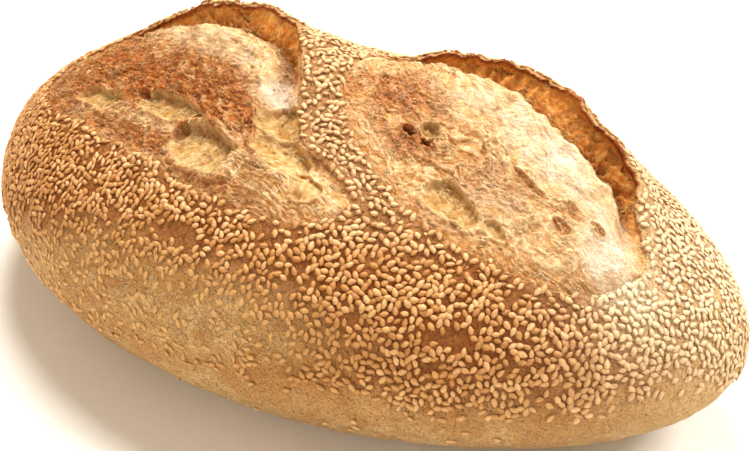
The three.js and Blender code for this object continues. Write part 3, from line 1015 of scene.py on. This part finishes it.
def make_lips(material):
    """The section, swept round both slashes: a low torn rim, and an ear behind each."""
    points = []
    faces = []
    marks = {"cut": [], "inner": [], "tip": [], "behind": []}
    start = 0
    low = np.array([corner[0] for corner in LIP_SECTION])
    high = np.array([corner[1] for corner in LIP_SECTION])
    width = len(LIP_SECTION)
    place = np.arange(width)
    outside = place <= LIP_OUTSIDE
    for slash_name, slash in SLASHES.items():
        edge = EDGES[slash_name]
        count = len(edge["plan"])
        ear = edge["ear"][:, None]
        wander = np.stack([edge["plan"][:, 0], edge["plan"][:, 1], np.zeros(count)], -1)
        ragged = layered(wander, *RAGGED)[:, None]
        nick = layered(wander, *NICKS)[:, None]
        tip = crest_line(place, LIP_TIP, TIP_SPREAD)
        behind = lerp(low[:, 0], high[:, 0], ear) + tip * (1.2 * ragged + 0.8 * nick)
        raised = ear * slash["ear"]["lift"] * (1 - smoothstep(0, EAR_REACH, np.maximum(behind, 0)))
        wavy = tip * (0.8 * ragged + 0.8 * nick) * lerp(0.5, 1, ear)
        height = lerp(low[:, 1], high[:, 1], ear) + raised * (1 + 0.3 * ragged) + wavy
        x = edge["plan"][:, 0, None] + edge["outward"][:, 0, None] * behind
        y = edge["plan"][:, 1, None] + edge["outward"][:, 1, None] * behind
        ring = over_crown(x, y, height)
        relief = crust_relief(ring, np.ones(x.shape)) * outside
        points.append(over_crown(x, y, height + relief).reshape(-1, 3))
        corner = np.arange(count)[:, None] * width + place
        right = np.roll(corner, -1, axis=1)
        ahead = np.roll(corner, -1, axis=0)
        ahead_right = np.roll(right, -1, axis=0)
        quads = np.stack([corner, ahead, ahead_right, right], -1).reshape(-1, 4) + start
        faces += quads.tolist()
        start += count * width

        face = smoothstep(LIP_TIP - 0.8, LIP_TIP + 0.6, place)
        burnt = smoothstep(*BURNT_END, edge["s"])[:, None]
        below = smoothstep(*BURNT_LINE, place + 0.8 * ragged - BURNT_BROADER * burnt)
        line = 1 - lerp(0.75, 0.5, burnt) * below
        pale = crest_line(place, LIP_TIP - 1, PALE_SPREAD) * (0.7 + 0.9 * nick)
        marks["cut"].append((face * line * lerp(LOW_RIM, 1, ear)).ravel())
        marks["inner"].append((face * below * lerp(LOW_RIM, 1, ear)).ravel())
        marks["tip"].append((pale * lerp(0.4, 1, ear)).ravel())
        marks["behind"].append(np.where(outside, behind, -1).ravel())
    points = np.vstack(points)
    marks = {key: np.concatenate(stack) for key, stack in marks.items()}
    around = np.arctan2(points[:, 1] / WIDTH, points[:, 0] / LENGTH)
    k = outline(around)
    radius = np.hypot(2 * points[:, 0] / (LENGTH * k), 2 * points[:, 1] / (WIDTH * k))
    up = np.arccos(np.clip(radius, 0, 1))
    values = crust_fields(points, around, up, np.full(len(points), FAR_AWAY))
    values["cut"] = marks["cut"]
    values["inner"] = marks["inner"]
    values["low"] = np.maximum(values["low"], marks["tip"])
    values["cover"] = values["cover"] * (marks["behind"] > 0.2)
    return make_mesh("lips", points, faces, material, values)


# ---------------------------------------------------------------- materials

# The sockets of nodes that have several of one name.
MIX_SHARE = 0
MIX_BELOW = 6
MIX_ABOVE = 7
MIX_RESULT = 2
LEAST_VECTOR = 0
MOST_VECTOR = 1
LEAST_NUMBER = 2
MOST_NUMBER = 3
RANDOM_VECTOR = 0
RANDOM_NUMBER = 1

# A metre, in mm.
METRE = 1000


def linear(colour):
    """An sRGB hex colour as linear RGBA."""
    channels = [int(colour[i : i + 2], 16) / 255 for i in (1, 3, 5)]
    return [c / 12.92 if c <= 0.04045 else ((c + 0.055) / 1.055) ** 2.4 for c in channels] + [1]


def add(tree, kind, inputs=None, **settings):
    """Adds a node; each input is a value or another node's output."""
    node = tree.nodes.new(kind)
    for key, value in settings.items():
        setattr(node, key, value)
    for key, value in (inputs or {}).items():
        if isinstance(value, bpy.types.NodeSocket):
            tree.links.new(value, node.inputs[key])
        else:
            node.inputs[key].default_value = value
    return node


def new_material(name, attributes=()):
    """An empty material, and the values stored on its meshes that it reads, by their names."""
    material = bpy.data.materials.new(name)
    material.use_nodes = True
    tree = material.node_tree
    tree.nodes.clear()
    stored = {
        key: add(tree, "ShaderNodeAttribute", attribute_name=key).outputs["Fac"]
        for key in attributes
    }
    return material, tree, stored


def spots(tree, size, low, high, detail=2, stretch=(1, 1, 1), swirl=0):
    """Patches of a size in mm: 0 where the noise is below low, 1 above high. They are stretched
    along the slashes, across them and upwards."""
    place = add(tree, "ShaderNodeTexCoord").outputs["Object"]
    turned = add(
        tree,
        "ShaderNodeMapping",
        {"Vector": place, "Rotation": (0, 0, SLASH_ANGLE), "Scale": stretch},
        vector_type="TEXTURE",
    ).outputs[0]
    noise = add(
        tree,
        "ShaderNodeTexNoise",
        {
            "Vector": turned,
            "Scale": METRE / size,
            "Detail": detail,
            "Roughness": 0.55,
            "Distortion": swirl,
        },
    )
    return add(
        tree,
        "ShaderNodeMapRange",
        {"Value": noise.outputs["Fac"], "From Min": low, "From Max": high},
        interpolation_type="SMOOTHSTEP",
    ).outputs["Result"]


def painted(tree, colour, layers):
    """Lays colours over one another: each has its strength, the patterns that it shows in
    together, and its hex value."""
    below = linear(colour)
    for strength, patterns, layer in layers:
        share = strength
        for pattern in patterns:
            both = {0: pattern, 1: share}
            share = add(tree, "ShaderNodeMath", both, operation="MULTIPLY").outputs[0]
        colours = {MIX_SHARE: share, MIX_BELOW: below, MIX_ABOVE: linear(layer)}
        below = add(tree, "ShaderNodeMix", colours, data_type="RGBA").outputs[MIX_RESULT]
    return below


def grained(tree, layers):
    """Bump from several patterns, each with its depth in mm."""
    normal = None
    for height, depth in layers:
        inputs = {"Height": height, "Distance": depth * MM, "Strength": 1}
        if normal:
            inputs["Normal"] = normal
        normal = add(tree, "ShaderNodeBump", inputs).outputs[0]
    return normal


def finish_material(tree, colour, normal, inputs):
    """Gives the material its surface."""
    shader = add(
        tree, "ShaderNodeBsdfPrincipled", {"Base Color": colour, "Normal": normal, **inputs}
    )
    add(tree, "ShaderNodeOutputMaterial", {"Surface": shader.outputs[0]})


def hearth_crust():
    """Baked crust: a hard, matt, starchy skin, tan where flour held it back and red-brown where the oven
    caught it, with specks of bran. Painted shade darkens it where the seeds lie thick and on its underside,
    and painted light pales it at the right end and on top."""
    material, tree, stored = new_material(
        "hearth_crust", ("cover", "toast", "low", "under", "cut", "inner", "pale", "dust")
    )
    cover = stored["cover"]
    low = stored["low"]
    cut = stored["cut"]
    inner = stored["inner"]
    broad = spots(tree, 26, 0.42, 0.64)
    middling = spots(tree, 6, 0.42, 0.62, 4, swirl=0.6)
    fine = spots(tree, 1.4, 0.44, 0.62, 4)
    dusty = spots(tree, 0.9, 0.46, 0.6, 2)
    sandy = spots(tree, 1.1, 0.5, 0.64, 4)
    bran = spots(tree, 1.9, 0.69, 0.75, 4)
    colour = painted(
        tree,
        "#b97f42",
        [
            (0.5, [broad], "#c48c4c"),
            (0.6, [middling], "#9f652c"),
            (0.5, [fine], "#c4904f"),
            # Painted shade: the crust turns dark red-brown where the seeds lie thick, standing in for the
            # shade between them.
            (0.78, [cover], "#904c17"),
            (0.5, [cover, middling], "#74370e"),
            (0.8, [low], "#d6a868"),
            # Painted shade: greyish tan on the underside, where the loaf is in shadow.
            (0.8, [stored["under"]], "#ab8e67"),
            (0.6, [low, broad], "#e8c78e"),
            (0.65, [low, middling], "#b67d42"),
            (0.5, [low, dusty], "#8d6234"),
            (0.5, [low, sandy], "#ecd3a5"),
            (0.7, [stored["toast"]], "#8c4a1b"),
            # Painted light: paler where the right end and the top catch the light.
            (0.7, [stored["pale"]], "#e2bd88"),
            (0.7, [stored["dust"]], "#f3dfb8"),
            (0.5, [bran], "#6f3d16"),
            (0.95, [cut], "#8c3607"),
            (0.6, [cut, middling], "#622206"),
            (0.4, [cut, fine], "#b3642a"),
            (0.85, [inner], "#e8963c"),
            (0.7, [inner, sandy], "#ffcf7e"),
        ],
    )
    rough = spots(tree, 5, 0.2, 0.8, 4)
    grit = spots(tree, 1.2, 0.25, 0.75, 3)
    normal = grained(tree, [(rough, 1.2), (grit, 0.6), (sandy, 0.3)])
    finish_material(
        tree, colour, normal, {"Roughness": 0.7, "IOR": 1.45, "Specular IOR Level": 0.2}
    )
    return material


CRUMB_VALUES = ("flour", "toast", "window", "hollow_shade", "wall", "pale_crest_and_highlight", "near")


def torn_crumb():
    """Crumb that burst out of the slash and baked bare: dry, matt and stringy, cream where it is floury,
    pale gold on its crests, partly its own colour and partly painted highlight, with painted shade in brown
    in its hollows, and thin greyish skins over bubbles."""
    material, tree, stored = new_material("torn_crumb", (*CRUMB_VALUES, "tone"))
    flour = stored["flour"]
    toast = stored["toast"]
    window = stored["window"]
    wall = stored["wall"]
    pale_crest_and_highlight = stored["pale_crest_and_highlight"]
    fibre = spots(tree, 1.3, 0.46, 0.58, 4, (2.4, 1, 1), 1.5)
    fine = spots(tree, 0.7, 0.43, 0.57, 3, (1.6, 1, 1), 1.0)
    patchy = spots(tree, 5, 0.42, 0.6, 4, (1.6, 1, 1), 1)
    freckle = spots(tree, 1.2, 0.5, 0.6, 4, (1, 1, 1), 1)
    colour = painted(
        tree,
        "#d39c60",
        [
            (0.5, [patchy], "#e3b47a"),
            # Crests are partly paler crumb and partly painted highlight.
            (0.9, [pale_crest_and_highlight], "#f6d49c"),
            (0.45, [fibre], "#cd843b"),
            (0.65, [fine, pale_crest_and_highlight], "#ffebc4"),
            (0.8, [wall], "#ee9038"),
            (0.85, [wall, pale_crest_and_highlight], "#fec26c"),
            (0.45, [stored["near"]], "#bf7530"),
            (0.9, [toast], "#a5541c"),
            (0.85, [toast, freckle], "#82340a"),
            (0.55, [toast, pale_crest_and_highlight, fine], "#e09a4e"),
            (0.85, [window], "#ca9856"),
            (0.7, [window, pale_crest_and_highlight], "#ebcb94"),
            (0.8, [flour], "#e5cba4"),
            (0.6, [flour, flour, flour], "#f9f0e2"),
            (0.3, [fibre, flour], "#e4b26c"),
            # Painted shade in the valley, holes, pores and window backs.
            (0.75, [stored["hollow_shade"]], "#853c13"),
            (0.35, [stored["tone"]], "#f9d79c"),
        ],
    )
    grit = spots(tree, 0.45, 0.3, 0.7)
    normal = grained(tree, [(fibre, 0.2), (fine, 0.2), (grit, 0.1)])
    finish_material(
        tree,
        colour,
        normal,
        {
            "Roughness": 0.85,
            "IOR": 1.45,
            "Specular IOR Level": 0.1,
            "Subsurface Weight": 0.3,
            "Subsurface Radius": (0.003, 0.0015, 0.0006),
            "Subsurface Scale": 1.0,
        },
    )
    return material


def hulled_sesame(name, body, shade, light):
    """Hulled sesame seed: a smooth, slightly oily drop, cream to gold, with painted shade at its ends and
    down its sides, and painted light where the crust is paled.
    """
    material, tree, stored = new_material(name, ("tone", "seed_rim_shade", "pale", "low", "dust"))
    mottled = spots(tree, 2.0, 0.5, 0.66)
    colour = painted(
        tree,
        body,
        [
            (0.75, [stored["tone"]], light),
            # Painted light: seeds paled at the right end and on top, as if brighter lit.
            (0.8, [stored["pale"]], "#f3dfb8"),
            # Painted shade round each seed's ends and lower sides.
            (0.7, [stored["seed_rim_shade"]], shade),
            (0.7, [stored["low"]], "#dcb476"),
            (0.65, [stored["dust"]], "#f7e6c4"),
            (0.25, [mottled], shade),
        ],
    )
    dimples = spots(tree, 0.7, 0.35, 0.65)
    finish_material(
        tree,
        colour,
        grained(tree, [(dimples, 0.05)]),
        {
            "Roughness": 0.5,
            "IOR": 1.46,
            "Specular IOR Level": 0.35,
            "Subsurface Weight": 0.15,
            "Subsurface Radius": (0.002, 0.0012, 0.0006),
            "Subsurface Scale": 1.0,
        },
    )
    return material


def studio_paper():
    """White background paper: plain, matt and even."""
    material, tree, _ = new_material("studio_paper")
    weave = spots(tree, 3, 0.3, 0.7)
    colour = painted(tree, "#f6f4f0", [(0.3, [weave], "#f8f7f4")])
    finish_material(tree, colour, grained(tree, [(weave, 0.02)]), {"Roughness": 0.9})
    return material


# ---------------------------------------------------------------- what is scattered

# Along a seed, as shares of its length: its blunt end, where each ring stands and how fat it is,
# and its point.
SEED_BLUNT = -0.53
SEED_PROFILE = [(-0.3, 0.62), (0.0, 1.0), (0.32, 0.78)]
SEED_POINT = 0.5
SEED_SIDES = 5
# Turns the rings so that a seed has an edge neither straight up nor straight down.
SEED_TURN = 0.25
# Where the painted shade on a seed's rim begins and ends: towards its ends and down its sides.
RIM_SHADE_AT_ENDS = (0.36, 0.5)
RIM_SHADE_AT_SIDES = (-0.1, 0.6)


def seed_shape():
    """One seed lying along X: a flattened drop, blunt at one end and pointed at the other."""
    points = [(SEED_BLUNT * SEED_LENGTH, 0, 0)]
    for place, fat in SEED_PROFILE:
        for side in range(SEED_SIDES):
            turn = 2 * math.pi * (side + SEED_TURN) / SEED_SIDES
            y = SEED_WIDTH / 2 * fat * math.cos(turn)
            z = SEED_THICK / 2 * fat * math.sin(turn)
            points.append((place * SEED_LENGTH, y, z))
    points.append((SEED_POINT * SEED_LENGTH, 0, 0))
    last = len(points) - 1
    faces = []
    for side in range(SEED_SIDES):
        after = (side + 1) % SEED_SIDES
        faces.append((0, 1 + after, 1 + side))
        for ring in range(len(SEED_PROFILE) - 1):
            a = 1 + ring * SEED_SIDES
            b = a + SEED_SIDES
            faces.append((a + side, a + after, b + after, b + side))
        a = 1 + (len(SEED_PROFILE) - 1) * SEED_SIDES
        faces.append((a + side, a + after, last))
    points = np.array(points)
    # The rim is painted shade: darker towards the seed's ends and down its lower sides.
    ends = smoothstep(*RIM_SHADE_AT_ENDS, np.abs(points[:, 0]) / SEED_LENGTH)
    sides = 1 - smoothstep(*RIM_SHADE_AT_SIDES, 2 * points[:, 2] / SEED_THICK)
    rim = np.maximum(ends, sides)
    return make_mesh("seed_shape", points + CENTRE, faces, None, {"seed_rim_shade": rim})


# A flake's corners in mm, with how far each curls up, and how the underside differs.
FLAKE_CORNERS = [
    (-0.62, -0.1, 0.2),
    (-0.25, -0.32, 0.04),
    (0.28, -0.26, 0.06),
    (0.66, 0.05, 0.26),
    (0.2, 0.3, 0.08),
    (-0.28, 0.22, 0.02),
]
FLAKE_THICK = 0.14
FLAKE_UNDER = 0.9
FLAKE_BELLY = -0.1


def flake_shape():
    """A crisp scrap of torn crumb, thin and curled, lying along X."""
    top = [(x, y, z + FLAKE_THICK) for x, y, z in FLAKE_CORNERS]
    bottom = [(x * FLAKE_UNDER, y * FLAKE_UNDER, z) for x, y, z in FLAKE_CORNERS]
    points = np.array(top + bottom + [(0, 0, FLAKE_THICK), (0, 0, FLAKE_BELLY)])
    count = len(top)
    faces = []
    for i in range(count):
        j = (i + 1) % count
        faces.append((i, j, 2 * count))
        faces.append((count + j, count + i, 2 * count + 1))
        faces.append((count + i, count + j, j, i))
    return make_mesh("flake_shape", points + CENTRE, faces, None)


# A thread of crumb, in mm: half its length, how high it arches, how deep its feet go, its radius
# in the middle and what the ends add to it, and how it sways.
STRAND_STEPS = 6
STRAND_SIDES = 4
STRAND_HALF = 2.6
STRAND_ARCH = 0.75
STRAND_SINK = 0.25
STRAND_THIN = 0.1
STRAND_THICKENS = 0.16
STRAND_SWAY = 0.35
STRAND_SWAY_TURN = 2.2


def strand_shape():
    """A thread of crumb, pulled into a low arch along X, thin in its middle."""
    points = []
    faces = []
    for step in range(STRAND_STEPS + 1):
        share = step / STRAND_STEPS * 2 - 1
        thick = STRAND_THIN + STRAND_THICKENS * share * share
        for side in range(STRAND_SIDES):
            turn = 2 * math.pi * side / STRAND_SIDES
            sway = STRAND_SWAY * math.sin(STRAND_SWAY_TURN * share)
            arch = STRAND_ARCH * (1 - share * share) - STRAND_SINK
            y = sway + thick * math.cos(turn)
            points.append((STRAND_HALF * share, y, arch + thick * math.sin(turn)))
    for step in range(STRAND_STEPS):
        for side in range(STRAND_SIDES):
            a = step * STRAND_SIDES + side
            b = step * STRAND_SIDES + (side + 1) % STRAND_SIDES
            faces.append((a, b, b + STRAND_SIDES, a + STRAND_SIDES))
    faces.append(tuple(range(STRAND_SIDES))[::-1])
    faces.append(tuple(STRAND_STEPS * STRAND_SIDES + side for side in range(STRAND_SIDES)))
    return make_mesh("strand_shape", np.array(points) + CENTRE, faces, None)


# ---------------------------------------------------------------- scattering by Geometry Nodes

# How much a copy's own proud value differs from its bed's, and the seeds of the random draws.
PROUD_JITTER = 0.22
SEED_OF_JITTER = 11
SEED_OF_TURN = 3
SEED_OF_SIZE = 5
SEED_OF_TONE = 7
SEED_OF_PLACES = 4
SCATTER_INPUTS = (
    "Spacing",
    "Most per Square Metre",
    "Proud From",
    "Proud To",
    "Sink When Flat",
    "Sink When Proud",
    "Tilt",
    "Size Varies",
)


def scatter_tree(name, shape, material):
    """Scatters copies of a shape over a bed, lying flat on it, as one mesh.

    The bed stores how densely it is covered (cover) and how far its copies stand out (proud).
    Only copies with proud between two limits are kept, and each stores a tone of its own."""
    tree = bpy.data.node_groups.new(name, "GeometryNodeTree")
    face = tree.interface
    face.new_socket("Geometry", in_out="INPUT", socket_type="NodeSocketGeometry")
    for label in SCATTER_INPUTS:
        face.new_socket(label, in_out="INPUT", socket_type="NodeSocketFloat")
    face.new_socket("Seed", in_out="INPUT", socket_type="NodeSocketInt")
    face.new_socket("Geometry", in_out="OUTPUT", socket_type="NodeSocketGeometry")
    given = add(tree, "NodeGroupInput").outputs
    named = {
        key: add(tree, "GeometryNodeInputNamedAttribute", {"Name": key}).outputs[0]
        for key in ("cover", "proud")
    }
    points = add(
        tree,
        "GeometryNodeDistributePointsOnFaces",
        {
            "Mesh": given["Geometry"],
            "Distance Min": given["Spacing"],
            "Density Max": given["Most per Square Metre"],
            "Density Factor": named["cover"],
            "Seed": given["Seed"],
        },
        distribute_method="POISSON",
    )
    jitter = add(
        tree,
        "FunctionNodeRandomValue",
        {LEAST_NUMBER: -PROUD_JITTER, MOST_NUMBER: PROUD_JITTER, "Seed": SEED_OF_JITTER},
        data_type="FLOAT",
    ).outputs[RANDOM_NUMBER]
    proud = add(tree, "ShaderNodeMath", {0: named["proud"], 1: jitter}, operation="ADD").outputs[0]
    low = add(
        tree, "FunctionNodeCompare", {0: proud, 1: given["Proud From"]}, operation="LESS_THAN"
    ).outputs[0]
    high = add(
        tree, "FunctionNodeCompare", {0: proud, 1: given["Proud To"]}, operation="GREATER_EQUAL"
    ).outputs[0]
    outside = add(tree, "FunctionNodeBooleanMath", {0: low, 1: high}, operation="OR").outputs[0]
    sink = add(
        tree,
        "ShaderNodeMapRange",
        {"Value": proud, "To Min": given["Sink When Flat"], "To Max": given["Sink When Proud"]},
    ).outputs["Result"]
    down = add(
        tree, "ShaderNodeVectorMath", {0: points.outputs["Normal"], 3: sink}, operation="SCALE"
    ).outputs[0]
    lowered = add(
        tree, "GeometryNodeSetPosition", {"Geometry": points.outputs["Points"], "Offset": down}
    ).outputs[0]
    tilt = given["Tilt"]
    back = add(tree, "ShaderNodeMath", {0: tilt, 1: -1.0}, operation="MULTIPLY").outputs[0]
    most = add(tree, "ShaderNodeCombineXYZ", {0: tilt, 1: tilt, 2: math.pi}).outputs[0]
    least = add(tree, "ShaderNodeCombineXYZ", {0: back, 1: back, 2: -math.pi}).outputs[0]
    turn = add(
        tree,
        "FunctionNodeRandomValue",
        {LEAST_VECTOR: least, MOST_VECTOR: most, "Seed": SEED_OF_TURN},
        data_type="FLOAT_VECTOR",
    ).outputs[RANDOM_VECTOR]
    turned = add(
        tree,
        "FunctionNodeRotateRotation",
        {
            0: points.outputs["Rotation"],
            1: add(tree, "FunctionNodeEulerToRotation", {0: turn}).outputs[0],
        },
        rotation_space="LOCAL",
    ).outputs[0]
    small = add(
        tree, "ShaderNodeMath", {0: 1.0, 1: given["Size Varies"]}, operation="SUBTRACT"
    ).outputs[0]
    large = add(
        tree, "ShaderNodeMath", {0: 1.0, 1: given["Size Varies"]}, operation="ADD"
    ).outputs[0]
    size = add(
        tree,
        "FunctionNodeRandomValue",
        {LEAST_NUMBER: small, MOST_NUMBER: large, "Seed": SEED_OF_SIZE},
        data_type="FLOAT",
    ).outputs[RANDOM_NUMBER]
    placed = add(
        tree,
        "GeometryNodeInstanceOnPoints",
        {
            "Points": lowered,
            "Instance": add(tree, "GeometryNodeObjectInfo", {"Object": shape}).outputs["Geometry"],
            "Rotation": turned,
            "Scale": size,
        },
    ).outputs[0]
    tone = add(
        tree, "FunctionNodeRandomValue", {"Seed": SEED_OF_TONE}, data_type="FLOAT"
    ).outputs[RANDOM_NUMBER]
    toned = add(
        tree,
        "GeometryNodeStoreNamedAttribute",
        {"Geometry": placed, "Name": "tone", "Value": tone},
        data_type="FLOAT",
        domain="INSTANCE",
    ).outputs[0]
    # Copies outside the two limits go only now, so that both runs draw the same random numbers.
    kept = add(
        tree,
        "GeometryNodeDeleteGeometry",
        {"Geometry": toned, "Selection": outside},
        domain="INSTANCE",
    ).outputs[0]
    real = add(tree, "GeometryNodeRealizeInstances", {"Geometry": kept}).outputs[0]
    dressed = add(
        tree, "GeometryNodeSetMaterial", {"Geometry": real, "Material": material}
    ).outputs[0]
    add(tree, "NodeGroupOutput", {"Geometry": dressed})
    return tree


def grown(name, bed, tree, values):
    """Runs a scattering tree on a bed and returns its result as a plain mesh object."""
    grower = bpy.data.objects.new(name + "_grower", bed.data)
    bpy.context.scene.collection.objects.link(grower)
    modifier = grower.modifiers.new("scatter", "NODES")
    modifier.node_group = tree
    given = [item for item in tree.interface.items_tree if item.in_out == "INPUT"]
    sockets = {item.name: item.identifier for item in given}
    for label, value in values.items():
        modifier[sockets[label]] = value
    grower.update_tag()
    evaluated = grower.evaluated_get(bpy.context.evaluated_depsgraph_get())
    mesh = bpy.data.meshes.new_from_object(evaluated)
    mesh.name = name
    bpy.data.objects.remove(grower)
    mesh.polygons.foreach_set("use_smooth", np.ones(len(mesh.polygons), bool))
    piece = bpy.data.objects.new(name, mesh)
    bpy.context.scene.collection.objects.link(piece)
    return piece


def joined_bed(name, pieces, keys):
    """One bed from several pieces, with the values that the scattering passes on."""
    points = []
    faces = []
    values = {key: [] for key in keys}
    start = 0
    for piece in pieces:
        mesh = piece.data
        place = np.zeros(len(mesh.vertices) * 3, np.float32)
        mesh.vertices.foreach_get("co", place)
        points.append(place.reshape(-1, 3))
        faces += [[v + start for v in face.vertices] for face in mesh.polygons]
        for key, stack in values.items():
            value = np.zeros(len(mesh.vertices), np.float32)
            mesh.attributes[key].data.foreach_get("value", value)
            stack.append(value)
        start += len(mesh.vertices)
    merged = np.vstack(points) / MM + CENTRE
    values = {key: np.concatenate(stack) for key, stack in values.items()}
    return make_mesh(name, merged, faces, None, values)


# ---------------------------------------------------------------- camera, light and floor

# Angles in degrees, distances in mm from the target.
CAMERA_AZIMUTH = 28.4
CAMERA_ELEVATION = 34.45
CAMERA_DISTANCE = 524
CAMERA_TARGET = (17.0, -1.9, 44.0)
CAMERA_LENS = 74.92
CAMERA_SENSOR = 36
CAMERA_CLIP = (0.01, 20)


def look_from(thing, azimuth, elevation, distance, target):
    """Places a thing at a distance in mm from a target, turned to it; azimuth 0 is the front."""
    azimuth = math.radians(azimuth)
    elevation = math.radians(elevation)
    back = Vector(
        (
            math.sin(azimuth) * math.cos(elevation),
            -math.cos(azimuth) * math.cos(elevation),
            math.sin(elevation),
        )
    )
    place = Vector(to_scene(np.array(target)))
    thing.location = place + back * distance * MM
    thing.rotation_mode = "QUATERNION"
    thing.rotation_quaternion = (-back).to_track_quat("-Z", "Y")
    bpy.context.scene.collection.objects.link(thing)


camera = bpy.data.objects.new("camera", bpy.data.cameras.new("camera"))
camera.data.sensor_width = CAMERA_SENSOR
camera.data.lens = CAMERA_LENS
camera.data.clip_start, camera.data.clip_end = CAMERA_CLIP
look_from(camera, CAMERA_AZIMUTH, CAMERA_ELEVATION, CAMERA_DISTANCE, CAMERA_TARGET)
bpy.context.scene.camera = camera

# Name, azimuth, elevation, distance in mm, size in mm, power in watts, colour.
LAMPS = [
    ("overhead", -150, 62, 900, 420, 12.5, "#fffdf8"),
    ("side", 118, 42, 900, 380, 7.5, "#fffdf8"),
    ("front", -18, 20, 1300, 900, 6.5, "#fff0dc"),
]
LAMP_TARGET = (0, 0, 50)
for name, azimuth, elevation, distance, size, power, tint in LAMPS:
    lamp = bpy.data.lights.new(name, "AREA")
    lamp.shape = "DISK"
    lamp.size = size * MM
    lamp.energy = power
    lamp.color = linear(tint)[:3]
    look_from(bpy.data.objects.new(name, lamp), azimuth, elevation, distance, LAMP_TARGET)

WORLD_COLOUR = "#ffecd4"
WORLD_STRENGTH = 0.5
world = bpy.data.worlds.new("studio")
world.use_nodes = True
surroundings = world.node_tree.nodes["Background"].inputs
surroundings["Color"].default_value = linear(WORLD_COLOUR)
surroundings["Strength"].default_value = WORLD_STRENGTH
bpy.context.scene.world = world
bpy.context.scene.view_settings.view_transform = "Standard"

# The floor lies a hair below the base, so that the two don't share a plane.
FLOOR_HALF = 3
FLOOR_LEVEL = -0.0005
corners = [(-1, -1), (1, -1), (1, 1), (-1, 1)]
floor_points = [(x * FLOOR_HALF, y * FLOOR_HALF, FLOOR_LEVEL) for x, y in corners]
floor_mesh = bpy.data.meshes.new("floor")
floor_mesh.from_pydata(floor_points, [], [(0, 1, 2, 3)])
floor_mesh.materials.append(studio_paper())
floor = bpy.data.objects.new("floor", floor_mesh)
bpy.context.scene.collection.objects.link(floor)

# ---------------------------------------------------------------- making the loaf

crust_finish = hearth_crust()
crumb_finish = torn_crumb()
crust = make_crust(crust_finish)
lips = make_lips(crust_finish)
blooms = [make_bloom(side, crumb_finish) for side in SLASHES]

pale_sesame = hulled_sesame("pale_sesame", "#d29b5e", "#8c4a17", "#edc188")
baked_sesame = hulled_sesame("baked_sesame", "#ba8043", "#824416", "#d19c5c")
seed = seed_shape()
flake = flake_shape()
strand = strand_shape()
crust_bed = joined_bed("crust_bed", [crust, lips], ("cover", "proud", "pale", "low", "dust"))
crumb_bed = joined_bed("crumb_bed", blooms, ("cover", "proud", *CRUMB_VALUES))
string_bed = joined_bed("string_bed", blooms, ("stringy", "proud", *CRUMB_VALUES))
string_bed.data.attributes["stringy"].name = "cover"

# Name, bed, shape, finish, spacing in m, most per square metre, proud from and to, how far the
# copies move out from the bed in m when flat and when proud, tilt, and how much the sizes vary.
ALL = (-9.0, 9.0)
PALE_ABOVE = 0.94
SCATTERED = [
    ("seeds_pale", crust_bed, seed, pale_sesame, 0.0018, 1.2e6, PALE_ABOVE, ALL[1], 0.0, 3e-4, 0.28, 0.15),
    ("seeds_baked", crust_bed, seed, baked_sesame, 0.0018, 1.2e6, ALL[0], PALE_ABOVE, 0.0, 3e-4, 0.28, 0.15),
    ("flakes", crumb_bed, flake, crumb_finish, 0.0009, 6e5, *ALL, 0.0, 0.0, 0.25, 0.35),
    ("strands", string_bed, strand, crumb_finish, 0.0014, 2.2e5, *ALL, 0.0, 0.0, 0.4, 0.35),
]
scattered = []
for name, bed, shape, finish, *amounts in SCATTERED:
    inputs = dict(zip(SCATTER_INPUTS, amounts), Seed=SEED_OF_PLACES)
    scattered.append(grown(name, bed, scatter_tree(name, shape, finish), inputs))
for spare in (crust_bed, crumb_bed, string_bed, seed, flake, strand):
    bpy.data.objects.remove(spare)

# ---------------------------------------------------------------- frame

pieces = [crust, lips, *blooms, *scattered]
for piece in pieces:
    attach(piece, "root")
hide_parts("loaf")
